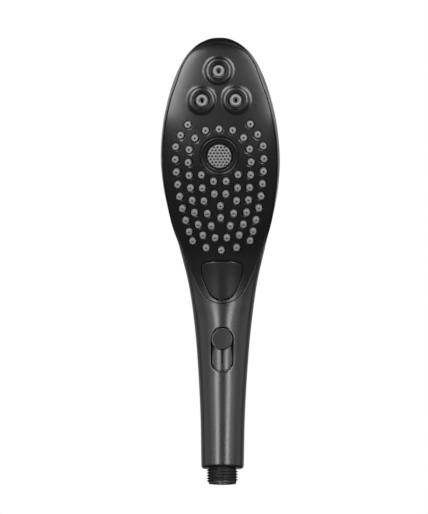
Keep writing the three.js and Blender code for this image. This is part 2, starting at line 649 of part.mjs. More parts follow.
add(showerHead, 'slider_track', geometryOf(sliderTrack()), blackPlastic);
const knobFrame = spineFrame(0, KNOB_AT, 0);
add(knobFrame, 'slider_knob', geometryOf(sliderKnob()), glossBlack);
showerHead.add(knobFrame);
add(showerHead, 'valve_body', geometryOf(valveBody()), whitePlastic);
add(showerHead, 'flow_spool', spool(), whitePlastic);
[SPOOL_SPAN[0] + 3, SPOOL_SPAN[1] - 2].forEach((z, i) => {
  const seal = turned([[5.05, z - 0.3], [5.35, z - 0.5], [5.7, z], [5.35, z + 0.5], [5.05, z + 0.3]], 14);
  add(showerHead, `spool_seal_${i + 1}`, seal, darkRubber);
});
const throttleSeat = solid(turned([[0, 54.5], [2.0, 54.5], [2.6, 60.2], [3.4, 61.2], [0, 61.4]], 14))
  .add(solid(new THREE.BoxGeometry(11.4, 1.2, 3).translate(0, 0, 58)));
add(showerHead, 'throttle_seat', geometryOf(throttleSeat), innerPlastic);
add(showerHead, 'lower_tube', ring(7.3, VALVE_RADIUS, 25.5, 61.0, 18), whitePlastic);

// ---- inlet: threaded fitting, filter, limiter and check valve -------------------------------------
function inletFitting() {
  const thread = [];
  const turns = 5;
  for (let i = 0; i < turns; i += 1) {
    const z = 0.9 + i * THREAD_PITCH;
    thread.push([THREAD_CORE, z], [THREAD_RADIUS, z + THREAD_PITCH / 2]);
  }
  return turned([
    [INLET_BORE, 0], [THREAD_CORE, 0], ...thread, [THREAD_CORE, 10.2], [8.3, 10.2], [8.3, 24],
    [6.9, 24], [6.9, 27.4], [6.2, 27.4], [6.2, 29.2], [6.9, 29.2], [6.9, 33], [5.2, 33],
    [5.2, 22], [INLET_BORE, 22],
  ], 20);
}

function perforated(radius, low, high, rings) {
  let disc = solid(ring(0, radius, low, high, 16));
  for (const [count, away, size] of rings) {
    for (let i = 0; i < count; i += 1) {
      const a = (2 * Math.PI * i) / count;
      const at = new THREE.Matrix4().makeTranslation(away * Math.cos(a), away * Math.sin(a), 0);
      disc = disc.subtract(solid(ring(0, size, low - 1, high + 1, 5), at));
    }
  }
  return disc;
}

const inlet = new THREE.Group();
add(inlet, 'inlet_fitting', inletFitting(), blackPlastic);
add(inlet, 'inlet_filter', geometryOf(perforated(6.7, 0.6, 1.4, [[1, 0, 1.1], [6, 4.0, 1.4]])), steel);
add(inlet, 'flow_limiter', geometryOf(perforated(6.7, 1.9, 5.0, [[6, 4.2, 0.9]])), whitePlastic);
const checkHousing = turned([
  [3.2, 5.4], [6.7, 5.4], [6.7, 20.4], [5.4, 20.4], [5.4, 8.2], [3.9, 7.0], [3.2, 7.0],
], 16);
add(inlet, 'check_valve_housing', checkHousing, innerPlastic);
const poppet = turned([[0, 7.4], [3.2, 7.4], [4.6, 8.6], [4.6, 9.4], [1.2, 9.4], [1.2, 20.0], [0, 20.0]], 14);
add(inlet, 'check_valve_poppet', poppet, whitePlastic);
add(inlet, 'check_valve_spring', coil(2.4, 0.35, 9.7, 16.4, 5), steel);
const guide = solid(ring(1.6, 5.1, 16.8, 18.0, 14)).subtract(solid(ring(0, 1.1, 15, 20, 8).translate(3.3, 0, 0)))
  .subtract(solid(ring(0, 1.1, 15, 20, 8).translate(-3.3, 0, 0)));
add(inlet, 'check_valve_guide', geometryOf(guide), whitePlastic);
showerHead.add(inlet);
const inletSeal = turned([[6.55, 28.0], [6.85, 27.8], [6.95, 28.3], [6.85, 28.8], [6.55, 28.6]], 14);
add(showerHead, 'inlet_seal', inletSeal, darkRubber);

export default showerHead;
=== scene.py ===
import json
import math

import bmesh
import bpy
import numpy as np
from mathutils import Matrix

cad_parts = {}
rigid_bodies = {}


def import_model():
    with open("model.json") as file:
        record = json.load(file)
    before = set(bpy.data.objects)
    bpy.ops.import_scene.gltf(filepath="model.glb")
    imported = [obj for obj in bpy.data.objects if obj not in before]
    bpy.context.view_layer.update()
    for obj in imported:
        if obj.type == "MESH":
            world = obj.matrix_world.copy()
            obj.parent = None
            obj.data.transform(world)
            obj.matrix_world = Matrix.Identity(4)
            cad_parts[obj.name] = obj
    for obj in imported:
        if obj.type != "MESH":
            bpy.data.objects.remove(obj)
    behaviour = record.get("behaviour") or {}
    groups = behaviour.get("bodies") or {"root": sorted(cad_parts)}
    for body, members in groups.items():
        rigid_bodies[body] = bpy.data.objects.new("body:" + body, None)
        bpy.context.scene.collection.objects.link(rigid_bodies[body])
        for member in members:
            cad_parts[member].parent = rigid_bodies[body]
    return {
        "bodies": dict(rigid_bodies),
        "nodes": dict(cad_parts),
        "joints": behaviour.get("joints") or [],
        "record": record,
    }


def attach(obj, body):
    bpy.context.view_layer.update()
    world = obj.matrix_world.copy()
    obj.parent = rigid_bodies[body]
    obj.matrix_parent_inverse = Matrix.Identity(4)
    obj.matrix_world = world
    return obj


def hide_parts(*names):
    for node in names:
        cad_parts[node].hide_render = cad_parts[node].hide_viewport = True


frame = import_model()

bl_info = {
    "name": "Handheld shower head",
    "version": (1, 0, 0),
    "blender": (4, 5, 0),
    "location": "3D view > Sidebar > Shower head",
    "description": "Builds a handheld shower head piece by piece on its packed frame",
    "category": "Add Mesh",
}

# ---- shape, in millimetres --------------------------------------------------------------------------
# Origin: centre of the inlet's end face. +Z runs up the handle, -Y is the spray side.
HANDLE_TOP = 113.0
NECK_RADIUS = 91.0
NECK_BEND = math.radians(44.5)
HEAD_RADIUS = 182.0
SPINE_END = 310.5
# distance along the spine, half width, depth behind, height in front
STATIONS = np.array([
    (10, 14.4, 12.6, 12.5), (50, 15.4, 12.7, 12.3), (90, 17.85, 12.7, 13.0), (116, 20.5, 12.2, 14.9),
    (140, 24.2, 14.2, 15.9), (164, 29.7, 19.1, 16.2), (180, 33.6, 25.1, 16.3), (196, 36.9, 30.0, 14.4),
    (212, 39.2, 32.5, 13.4), (228, 40.1, 33.3, 13.2), (252, 38.2, 31.2, 11.5), (276, 32.5, 24.4, 10.5),
    (292, 26.0, 16.6, 9.6), (304, 16.9, 8.0, 7.0), (309, 7.9, 3.2, 3.2),
])
SEAM_FROM, SEAM_TO = 122.6, 306.0
SEAM = np.array([
    (125, 8.0), (137, 17.0), (152, 23.4), (165, 28.4), (196, 35.2), (232, 38.1), (268, 32.6),
    (283, 27.2), (300, 17.0),
])
NUB_ROWS = [
    (11, [(20.7, 253.4), (28.6, 241), (29.2, 226), (26.6, 203), (19.4, 174.9)]),
    (9, [(16.2, 245), (20.6, 236), (20.4, 220), (17.6, 197), (12.3, 181)]),
    (5, [(12.2, 221.8), (11, 205), (6.4, 188.2)]),
    (2, [(4.2, 217.7), (3.8, 209.4)]),
    (1, [(10.3, 169.8)]),
    (1, [(4.0, 179.2)]),
    (1, [(9.0, 249.7)]),
]
MIDDLE_NUBS = [167.9, 193.6, 201.6, 250.5]
CENTRE_JET = 233.5
WHIRLS = [(0.0, 286.6), (-11.2, 268.3), (11.2, 268.3)]
BUTTON_AT = 141.7
BUTTON_OUTLINE = [(0, 13.4), (8.4, 12.9), (13.1, 10.4), (13.8, 5.6), (11.1, -3.2), (6.3, -11.2), (0, -13.4)]
SLOT_AT = 89.6
KNOB_AT = 96.6
ROUNDNESS = 0.92                         # exponent of the back's outline, where 1 is an ellipse
LIP_REACH = 1.6                          # how far a cutter's flared lip runs past the surface


def smoothstep(value, low, high):
    t = np.clip((value - low) / (high - low), 0, 1)
    return t * t * (3 - 2 * t)


def station_curve(table, column, closing):
    """Smooth curve through a table's rows; dividing by closing(s) first lets the ends close roundly."""
    xs = table[:, 0]
    ys = table[:, column] / closing(xs)
    count = len(xs)
    slope = np.array([
        (ys[min(i + 1, count - 1)] - ys[max(i - 1, 0)]) / (xs[min(i + 1, count - 1)] - xs[max(i - 1, 0)])
        for i in range(count)
    ])

    def value(s):
        s = np.asarray(s, float)
        i = np.clip(np.searchsorted(xs, s, side="left") - 1, 0, count - 2)
        step = xs[i + 1] - xs[i]
        t = np.clip((s - xs[i]) / step, -0.5, 1.2)
        base = (2 * t**3 - 3 * t**2 + 1) * ys[i] + (3 * t**2 - 2 * t**3) * ys[i + 1]
        lean = (t**3 - 2 * t**2 + t) * slope[i] + (t**3 - t**2) * slope[i + 1]
        return (base + lean * step) * closing(s)

    return value


def close_tip(s):
    return np.sqrt(np.maximum(SPINE_END - s, 1e-6))


def close_seam(s):
    return np.sqrt(np.maximum((s - SEAM_FROM) * (SEAM_TO - s), 1e-6))


half_width = station_curve(STATIONS, 1, close_tip)
back_depth = station_curve(STATIONS, 2, close_tip)
face_height = station_curve(STATIONS, 3, close_tip)
seam_half_width = station_curve(SEAM, 1, close_seam)


def spine(s):
    """Forward reach, height and tilt of the spine at a distance s along it."""
    s = np.asarray(s, float)
    neck = NECK_RADIUS * NECK_BEND
    bend = np.clip(s - HANDLE_TOP, 0, neck) / NECK_RADIUS
    unbend = np.maximum(s - HANDLE_TOP - neck, 0) / HEAD_RADIUS
    tilt = bend - unbend
    past = unbend > 0
    forward = NECK_RADIUS * (1 - np.cos(bend)) + past * HEAD_RADIUS * (np.cos(tilt) - math.cos(NECK_BEND))
    up = (np.minimum(s, HANDLE_TOP) + NECK_RADIUS * np.sin(bend)
          + past * HEAD_RADIUS * (math.sin(NECK_BEND) - np.sin(tilt)))
    return forward, up, tilt


def place(x, s, n):
    """Points x to the side of the spine and n in front of it."""
    forward, up, tilt = spine(s)
    x, forward, up, tilt, n = np.broadcast_arrays(x, forward, up, tilt, n)
    return np.stack([x, -(forward + n * np.cos(tilt)), up - n * np.sin(tilt)], axis=-1).astype(float)


class Section:
    """Outer section of the body at each s, pulled in by inset."""

    def __init__(self, s, inset=0.0):
        head = smoothstep(s, 150, 186)
        self.crease = -2.5 * (1 - smoothstep(s, 100, 160))
        self.wide = np.maximum(half_width(s) - inset, 1e-4)
        self.back = back_depth(s) - inset
        self.front = face_height(s) - inset
        rim = 2.1 * head * np.minimum(1, self.wide / 20)
        plain = self.wide - rim
        beyond_seam = seam_half_width(s) + 0.8
        corner = 0.15 * np.logaddexp(plain / 0.15, beyond_seam / 0.15)
        self.corner = np.minimum(np.where(head > 0, corner, plain), self.wide)
        rise = 5.6 + 2.9 * smoothstep(s, 225, 262)
        self.rim_height = np.minimum(self.crease + rise * head, 0.8 * self.front)
        self.spread = 2 + 0.4 * head
        self.power = 0.5 + 0.14 * (smoothstep(s, 60, 95) - smoothstep(s, 108, 123)) + 0.3 * head


def height(x, s, inset=0.0):
    """Height of the outer surface in front of the spine."""
    c = Section(s, inset)
    side = np.abs(x)
    u = np.clip(side / c.corner, 0, 1)
    crown = c.rim_height + (c.front - c.rim_height) * (1 - u**c.spread) ** c.power
    t = np.clip((side - c.corner) / np.maximum(c.wide - c.corner, 1e-6), 0, 1)
    return np.where(side < c.corner, crown, c.rim_height + (c.crease - c.rim_height) * t)


def skin(x, s):
    return place(x, s, height(x, s))


def skin_normal(x, s, step=0.12):
    across = skin(x + step, s) - skin(x - step, s)
    along = skin(x, s + step) - skin(x, s - step)
    normal = np.cross(across, along)
    return normal / np.linalg.norm(normal, axis=-1, keepdims=True)


class Frame:
    """Local frame on the face: X sideways, Y along the spine, Z out of the face."""

    def __init__(self, x, s, n=None, lean=0.0):
        tilt = float(spine(s)[2])
        self.origin = place(x, s, height(x, s) if n is None else n)
        side = np.array([1.0, 0, 0])
        self.along = np.array([0, -math.sin(tilt), math.cos(tilt)])
        out = np.array([0, -math.cos(tilt), -math.sin(tilt)])
        self.side = side * math.cos(lean) - out * math.sin(lean)
        self.out = out * math.cos(lean) + side * math.sin(lean)

    def to_world(self, points):
        points = np.asarray(points, float)
        return (self.origin + points[..., 0:1] * self.side + points[..., 1:2] * self.along
                + points[..., 2:3] * self.out)


def nub_lean(x, s):
    return 0.34 * (x / float(seam_half_width(s))) ** 3


def nub_places():
    """(x, s) of every spray nub, at even spacing along each row."""
    places = [(0.0, s) for s in MIDDLE_NUBS]
    for count, through in NUB_ROWS:
        if count == 1:
            row = [through[0]]
        else:
            path = catmull_rom(np.array(through, float), 60)
            row = even_points(path, count)
        for x, s in row:
            places += [(x, s), (-x, s)]
    return places


def cubic(p1, p2, v1, v2, t):
    """Point at t on the cubic from p1 to p2 that leaves with v1 and arrives with v2."""
    return (2 * p1 - 2 * p2 + v1 + v2) * t**3 + (-3 * p1 + 3 * p2 - 2 * v1 - v2) * t**2 + v1 * t + p1


def catmull_rom(points, steps):
    """Uniform Catmull-Rom curve with its ends repeated."""
    padded = np.vstack([points[0], points, points[-1]])
    path = []
    for i in range(1, len(padded) - 2):
        p0, p1, p2, p3 = padded[i - 1:i + 3]
        path += [
            cubic(p1, p2, (p2 - p0) / 2, (p3 - p1) / 2, t) for t in np.linspace(0, 1, steps, endpoint=False)
        ]
    path.append(points[-1])
    return np.array(path)


def even_points(path, count):
    length = np.concatenate([[0], np.cumsum(np.linalg.norm(np.diff(path, axis=0), axis=1))])
    at = np.linspace(0, length[-1], count)
    return np.stack([np.interp(at, length, path[:, k]) for k in range(path.shape[1])], axis=1)


def closed_outline(points, count):
    """Centripetal Catmull-Rom loop through the points, evenly spaced."""
    total = len(points)
    path = []
    for i in range(total):
        p0, p1, p2, p3 = (points[(i + k - 1) % total] for k in range(4))
        d0, d1, d2 = (max(np.linalg.norm(b - a), 1e-6) ** 0.5 for a, b in ((p0, p1), (p1, p2), (p2, p3)))
        t1 = ((p1 - p0) / d0 - (p2 - p0) / (d0 + d1) + (p2 - p1) / d1) * d1
        t2 = ((p2 - p1) / d1 - (p3 - p1) / (d1 + d2) + (p3 - p2) / d2) * d1
        path += [cubic(p1, p2, t1, t2, t) for t in np.linspace(0, 1, 40, endpoint=False)]
    path.append(path[0])
    return even_points(np.array(path), count + 1)[:-1]


def on_neck(loop):
    """Turns a flat loop round the button's centre into (x, s), on the neck's inside curve."""
    ahead = NECK_RADIUS - float(face_height(BUTTON_AT))
    return loop[:, 0], BUTTON_AT + NECK_RADIUS * np.arctan(loop[:, 1] / ahead)


def button_outline(grow, count=120):
    half = np.array(BUTTON_OUTLINE, float)
    mirrored = half[1:-1][::-1] * (-1, 1)
    loop = closed_outline(np.vstack([half, mirrored])[::-1], count)
    return grown(loop, grow)


def stadium_outline(width, length, end=48, side=40):
    """Stadium long in Y, anticlockwise, with the same number of points at any size."""
    r, half = width / 2, (length - width) / 2
    turn = np.linspace(0, math.pi, end, endpoint=False)
    run = np.linspace(half, -half, side, endpoint=False)
    top = np.stack([r * np.cos(turn), half + r * np.sin(turn)], axis=1)
    left = np.stack([np.full(side, -r), run], axis=1)
    return np.vstack([top, left, -top, -left])


def grown(loop, offset):
    """An anticlockwise loop moved outwards by offset."""
    tangent = np.roll(loop, -1, axis=0) - np.roll(loop, 1, axis=0)
    tangent /= np.linalg.norm(tangent, axis=1, keepdims=True)
    return loop + offset * np.stack([tangent[:, 1], -tangent[:, 0]], axis=1)


def at_level(loop, z):
    """A flat loop as local points at the height z."""
    return np.column_stack([loop, np.full(len(loop), float(z))])


def circle(angle, radius, z):
    """Points round the Z axis at the given angles; the radius may differ from one to the next."""
    return np.stack(np.broadcast_arrays(radius * np.cos(angle), radius * np.sin(angle), z), axis=-1)


def lip(radius, reach=LIP_REACH):
    """(offset, depth) along a rounded edge that opens outwards, running on past the surface."""
    turns = np.radians([0, 16, 32, 48, 64])
    points = [(radius * (1 - math.cos(a)), -radius * (1 - math.sin(a))) for a in turns]
    last = turns[-1]
    offset, depth = points[-1]
    points.append((offset + reach * math.sin(last), depth + reach * math.cos(last)))
    return points


# ---- meshes -------------------------------------------------------------------------------------
class Patches:
    """Points in millimetres and faces gathered patch by patch, welded into one mesh."""

    def __init__(self):
        self.points = []
        self.faces = []
        self.count = 0

    def grid(self, rows, loop=False):
        """Quads between successive rows of points; loop joins each row's ends."""
        rows = np.asarray(rows, float)
        height_count, width = rows.shape[:2]
        index = self.count + np.arange(height_count * width).reshape(height_count, width)
        if loop:
            index = np.hstack([index, index[:, :1]])
        quads = np.stack([index[:-1, :-1], index[:-1, 1:], index[1:, 1:], index[1:, :-1]], axis=-1)
        self.faces += quads.reshape(-1, 4).tolist()
        self.points.append(rows.reshape(-1, 3))
        self.count += height_count * width

    def fan(self, loop_points, centre, closed=True):
        loop_points = np.asarray(loop_points, float)
        total = len(loop_points)
        steps = total if closed else total - 1
        self.faces += [
            (self.count + i, self.count + (i + 1) % total, self.count + total) for i in range(steps)
        ]
        self.points += [loop_points, np.asarray(centre, float)[None]]
        self.count += total + 1

    def mirror(self):
        """Adds the same patches on the other side of the middle plane."""
        points = np.vstack(self.points) * (-1, 1, 1)
        self.faces += [tuple(i + self.count for i in reversed(face)) for face in self.faces]
        self.points.append(points)
        self.count *= 2

    def mesh(self, name, weld=2e-6):
        mesh = bpy.data.meshes.new(name)
        mesh.from_pydata(np.vstack(self.points) * 0.001, [], self.faces)
        work = bmesh.new()
        work.from_mesh(mesh)
        bmesh.ops.remove_doubles(work, verts=work.verts, dist=weld)
        bmesh.ops.dissolve_degenerate(work, edges=work.edges, dist=1e-7)
        loose = [v for v in work.verts if not v.link_faces]
        bmesh.ops.delete(work, geom=loose, context="VERTS")
        bmesh.ops.recalc_face_normals(work, faces=work.faces)
        work.to_mesh(mesh)
        work.free()
        return mesh

    def object(self, name):
        return new_object(name, self.mesh(name))


def new_object(name, mesh, sharp=32.0):
    obj = bpy.data.objects.new(name, mesh)
    bpy.context.scene.collection.objects.link(obj)
    smooth(obj, sharp)
    return obj


def smooth(obj, sharp):
    obj.data.shade_smooth()
    obj.data.set_sharp_from_angle(angle=math.radians(sharp))


def tube_patches(patches, loops):
    """Closed solid through successive loops of points, capped at both ends."""
    loops = np.asarray(loops, float)
    patches.grid(loops, loop=True)
    patches.fan(loops[0][::-1], loops[0].mean(axis=0))
    patches.fan(loops[-1], loops[-1].mean(axis=0))


def turned_patches(patches, profile, frame, segments=64):
    """Solid of revolution about the frame's Z from (radius, height) points.

    A profile that starts and ends on the axis is capped there; any other is closed as a ring."""
    profile = np.array(profile, float)
    if profile[0][0] > 0 or profile[-1][0] > 0:
        profile = np.vstack([profile, profile[:1]])
    angle = np.linspace(0, 2 * math.pi, segments, endpoint=False)
    rows = np.array([circle(angle, r, z) for r, z in profile])
    patches.grid(frame.to_world(rows), loop=True)


def rounded(profile, closed=False, steps=4):
    """A (radius, height[, fillet]) profile with its corners rounded by their fillets."""
    out = []
    total = len(profile)
    for i, corner in enumerate(profile):
        here = np.array(corner[:2], float)
        radius = corner[2] if len(corner) > 2 else 0
        if radius == 0 or (not closed and i in (0, total - 1)):
            out.append(here)
            continue
        before = np.array(profile[i - 1][:2], float) - here
        after = np.array(profile[(i + 1) % total][:2], float) - here
        reach = min(radius, 0.45 * np.linalg.norm(before), 0.45 * np.linalg.norm(after))
        start = here + before / np.linalg.norm(before) * reach
        end = here + after / np.linalg.norm(after) * reach
        for t in np.linspace(0, 1, steps + 1):
            out.append((1 - t) ** 2 * start + 2 * t * (1 - t) * here + t**2 * end)
    return np.array(out)


def boolean(obj, other, operation, sharp=32.0):
    """Cuts or joins other into obj, for good, and removes other."""
    modifier = obj.modifiers.new(operation.lower(), "BOOLEAN")
    modifier.operation = operation
    modifier.object = other
    before = len(obj.data.polygons)
    for solver in ("MANIFOLD", "EXACT"):
        modifier.solver = solver
        result = bpy.data.meshes.new_from_object(obj.evaluated_get(bpy.context.evaluated_depsgraph_get()))
        if len(result.polygons) not in (0, before):
            break
    if len(result.polygons) == 0:
        raise RuntimeError(f"{operation} on {obj.name} left nothing")
    obj.modifiers.clear()
    name = obj.data.name
    old = obj.data
    obj.data = result
    bpy.data.meshes.remove(old)
    result.name = name
    cutter = other.data
    bpy.data.objects.remove(other)
    bpy.data.meshes.remove(cutter)
    smooth(obj, sharp)


def in_mm(metres):
    return metres * 1000


# ---- outer shells -------------------------------------------------------------------------------
def seam_line(u):
    """The right half of the seam, bottom tip to top tip: x, s and outward normal in that plane."""
    s = SEAM_FROM + (SEAM_TO - SEAM_FROM) * (1 - np.cos(math.pi * u)) / 2
    x = seam_half_width(s)
    x[0] = x[-1] = 0
    along_x = np.gradient(x, u)
    along_s = np.gradient(s, u)
    size = np.hypot(along_x, along_s)
    nx, ns = along_s / size, -along_x / size
    nx[0] = nx[-1] = 0
    ns[0], ns[-1] = -1, 1
    return x, s, nx, ns


def seam_offset(line, distance):
    """x and s beside the seam, outwards by distance, with both tips kept on the middle plane."""
    x, s, nx, ns = line
    at_x = np.maximum(x + distance * nx, 0)
    at_x[0] = at_x[-1] = 0
    return at_x, s + distance * ns


def fillet_depth(distance, radius):
    """How far a rounded edge lies below the surface at a distance from the edge's outer side."""
    d = np.minimum(distance, radius)
    return radius - np.sqrt(np.maximum(radius**2 - (radius - d) ** 2, 0))


def back_quarter(c, s, columns):
    """Points from just past the widest point round to the middle of the back."""
    t = np.linspace(0, math.pi / 2, columns + 1)[1:]
    cosine = np.maximum(np.cos(t), 0) ** ROUNDNESS
    cosine[-1] = 0
    return place(c.wide * cosine, s, c.crease - (c.back + c.crease) * np.sin(t) ** ROUNDNESS)


def section_row(s, start, inset, front_columns, back_columns):
    """Half a section from x = start at the front round to the middle of the back, as points."""
    c = Section(s, inset)
    t = np.linspace(math.asin(min(1.0, max(0.0, start / c.wide))), math.pi / 2, front_columns + 1)
    x = c.wide * np.sin(t)
    x[0], x[-1] = start, c.wide
    front = place(x, s, np.where(x >= c.wide, c.crease, height(x, s, inset)))
    return np.vstack([front, back_quarter(c, s, back_columns)])


def inner_row(s, start, end_inset, front_columns, back_columns):
    """Half a row of the hollow: from the point start round to the widest point, then the back."""
    c = Section(s, end_inset)
    corner = place(start[0], s, c.crease)
    widest = place(c.wide, s, c.crease)
    t = np.linspace(0, math.pi / 2, front_columns + 1)[:, None]
    front = (corner + (widest - corner) * np.sin(t) ** ROUNDNESS
             + (start - corner) * np.maximum(np.cos(t), 0) ** ROUNDNESS)
    return np.vstack([front, back_quarter(c, s, back_columns)])


def back_shell_mesh(size):
    """Closed, thick-walled shell: handle, neck and back of the head, with a ledge under the face plate."""
    front_columns, back_columns = 26, 44
    wall, strip = in_mm(size.wall), 1.0
    bottom, round_bottom = in_mm(size.handle_bottom), in_mm(size.shoulder_radius)
    edge = in_mm(size.seam_edge)
    line = seam_line(np.linspace(0, 1, 171))
    x, s, _, ns = line
    normal = skin_normal(x, s)

    def beside(distance, depth):
        return skin(*seam_offset(line, distance)) - depth * normal

    patches = Patches()
    hole, floor_thickness = in_mm(size.inlet_hole), 2.5
    rows = []
    rises = round_bottom * (1 - np.cos(np.linspace(0, math.pi / 2, 9)))
    for rise in rises:
        into = round_bottom - math.sqrt(max(round_bottom**2 - (round_bottom - rise) ** 2, 0))
        rows.append(section_row(bottom + rise, 0, into, front_columns, back_columns))
    handle = np.linspace(bottom + round_bottom, s[0] - strip, 62)[1:]
    rows += [section_row(at, 0, 0, front_columns, back_columns) for at in handle[:-1]]
    first = rows[0]
    around = np.hypot(first[:, 0], first[:, 1])[:, None]
    rim = []
    for radius, level in ((hole, bottom + floor_thickness), (hole, bottom + 0.5), (hole + 0.4, bottom),
                          (hole + 1.8, bottom)):
        ring = first / around * radius
        ring[:, 2] = level
        rim.append(ring)
    start_x, start_s = seam_offset(line, strip)
    rows += [
        section_row(at, begin, 0, front_columns, back_columns) for at, begin in zip(start_s, start_x)
    ]
    tip = SPINE_END - (SPINE_END - start_s[-1]) * (1 - np.linspace(0, 1, 22)[1:]) ** 2
    rows += [section_row(at, 0, 0, front_columns, back_columns) for at in tip[:-1]]
    rows.append(np.repeat(place(0.0, SPINE_END, 0.0)[None], front_columns + back_columns + 1, axis=0))
    patches.grid(rim + rows)

    rounding = (strip, 0.75, 0.55, 0.42, 0.33, 0.24, 0.16, 0.09, 0.03, 0.0)
    columns = [beside(d, float(fillet_depth(d, edge))) for d in rounding]
    rebate, ledge, under = in_mm(size.plate_wall) + in_mm(size.gap), in_mm(size.ledge_width), 5.2
    columns += [beside(0.0, depth) for depth in (1.4, rebate)]
    columns += [beside(-ledge * part, rebate) for part in (0.5, 1.0)]
    columns.append(beside(-ledge, under))
    patches.grid(np.stack(columns, axis=1))

    inner = []
    inner_s = np.linspace(bottom + floor_thickness, s[0] + ledge, len(rises) + len(handle))[:-1]
    for at in inner_s:
        drop = 2.6 + 2.6 * float(smoothstep(at, 106, 118))
        start = place(0.0, at, float(face_height(at)) - drop)
        inner.append(inner_row(at, start, wall, front_columns, back_columns))
    for at, start in zip(s - ledge * ns, beside(-ledge, under)):
        inner.append(inner_row(at, start, wall, front_columns, back_columns))
    patches.grid([rim[0]] + inner)
    last = inner[-1]
    patches.fan(last, (0, last[:, 1].mean(), last[:, 2].mean()), closed=False)
    patches.mirror()
    return patches.mesh("back_shell")


def conformal_cutter(name, outline_at, centre_s, loops, top, bottom):
    """Solid whose loops, given as (offset, depth), follow the outer surface between two heights."""
    patches = Patches()
    loop = outline_at(loops[0][0])
    rings = [place(loop[:, 0], centre_s + loop[:, 1], np.full(len(loop), float(top)))]
    for offset, depth in loops:
        loop = outline_at(offset)
        x, s = loop[:, 0], centre_s + loop[:, 1]
        rings.append(place(x, s, height(x, s) + depth))
    loop = outline_at(0)
    rings.append(place(loop[:, 0], centre_s + loop[:, 1], np.full(len(loop), float(bottom))))
    tube_patches(patches, rings)
    return patches.object(name)


def collars(jets):
    """The domed collars of the whirl jets, sunk into the plate."""
    inner, outer, tall = in_mm(jets.collar_top_radius), in_mm(jets.collar_radius), in_mm(jets.collar_height)
    patches = Patches()
    dome_end, foot_slope, foot_width = 58, 0.3, 1.2
    turns = np.radians(np.linspace(0, dome_end, 16))
    dome = [(inner + (outer - inner) * math.sin(a), tall * math.cos(a)) for a in turns]
    r, z = dome[-1]
    fall = tall / (outer - inner) * math.tan(math.radians(dome_end))
    easing = (fall - foot_slope) / (2 * foot_width)
    dome += [(r + d, z - fall * d + easing * d * d) for d in np.linspace(0.15, foot_width, 8)]
    dome.append((r + 2.2, dome[-1][1] - 0.3))
    profile = [(0, -1.6), (dome[-1][0], -1.6)] + dome[::-1] + [(0, tall)]
    for x, s in WHIRLS:
        turned_patches(patches, profile, Frame(x, s), 128)
    return patches.object("collars")


def face_plate_mesh(size):
    """Closed plate with a rounded edge."""
    edge, gap, wall, strip = in_mm(size.seam_edge), in_mm(size.gap), in_mm(size.plate_wall), 1.2
    line = seam_line(np.linspace(0, 1, 181))
    normal = skin_normal(*line[:2])

    def across(count):
        return in_x[:, None] * np.linspace(0, 1, count), np.repeat(in_s[:, None], count, axis=1)

    def beside(distance, depth):
        return skin(*seam_offset(line, -distance)) - depth * normal

    in_x, in_s = seam_offset(line, -(gap + strip))
    patches = Patches()
    patches.grid(skin(*across(49)))
    rounding = (strip, 0.9, 0.65, 0.45, 0.34, 0.25, 0.16, 0.09, 0.03, 0.0)
    strips = [beside(gap + d, fillet_depth(d, edge)) for d in rounding]
    strips += [beside(gap, depth) for depth in (1.2, wall)]
    strips.append(skin(in_x, in_s) - wall * normal)
    patches.grid(np.stack(strips, axis=1))
    grid_x, grid_s = across(13)
    below = skin(grid_x, grid_s) - wall * skin_normal(grid_x, grid_s)
    below[:, -1] = strips[-1]
    below[:, 0, 0] = 0
    patches.grid(below)
    patches.mirror()
    return patches.mesh("face_plate")


def turned_at_nubs(patches, profile, segments=40):
    for x, s in nub_places():
        turned_patches(patches, profile, Frame(x, s, lean=nub_lean(x, s)), segments)


def face_cutters(size, jets, nubs, controls):
    """Everything that is cut through the plate, as one object."""
    patches = Patches()
    hole, soft = in_mm(nubs.hole_radius), in_mm(nubs.hole_edge)
    profile = [(0, -7), (hole, -7)] + [(hole + o, d) for o, d in lip(soft)]
    profile.append((0, profile[-1][1]))
    turned_at_nubs(patches, profile)
    hole = in_mm(jets.cup_radius) + in_mm(size.gap)
    top = in_mm(jets.collar_height)
    profile = [(0, -9), (hole, -9)] + [(hole + o, top + d) for o, d in lip(0.3, 2.0)]
    profile.append((0, profile[-1][1]))
    for x, s in WHIRLS:
        turned_patches(patches, profile, Frame(x, s), 96)
    hole = in_mm(jets.centre_radius) + in_mm(size.gap)
    angle = np.linspace(0, 2 * math.pi, 120, endpoint=False)
    rings = []
    for offset, depth in [(0, -8)] + lip(0.35, 2.0):
        x = (hole + offset) * np.cos(angle)
        s = CENTRE_JET + (hole + offset) * np.sin(angle) / (1 + float(face_height(CENTRE_JET)) / HEAD_RADIUS)
        rings.append(place(x, s, height(x, s) + depth))
    tube_patches(patches, rings)
    well = Frame(0.0, BUTTON_AT)
    rings = [well.to_world(at_level(button_outline(in_mm(controls.button_gap)), -8))]
    for offset, depth in lip(in_mm(controls.button_edge)):
        loop = button_outline(in_mm(controls.button_gap) + offset)
        x, s = on_neck(loop)
        rings.append(place(x, s, height(x, s) + depth))
    rings.append(well.to_world(at_level(loop, 12)))
    tube_patches(patches, rings)
    return patches.object("face_cutters")


# ---- spray nubs and jets ------------------------------------------------------------------------
def nozzle_mat_mesh():
    """Backing sheet under the plate."""
    top, bottom, margin = 2.7, 4.1, 3.6
    rows = []
    for at in np.linspace(162, 261, 50):
        x = (float(seam_half_width(at)) - margin) * np.linspace(-1, 1, 41)
        rows.append(np.stack([place(x, at, height(x, at) - top), place(x, at, height(x, at) - bottom)]))
    rows = np.array(rows)
    loop = np.concatenate([rows[:, 0], rows[:, 1, ::-1]], axis=1)
    patches = Patches()
    patches.grid(loop, loop=True)
    patches.grid(rows[0])
    patches.grid(rows[-1])
    return patches.mesh("nozzle_mat")


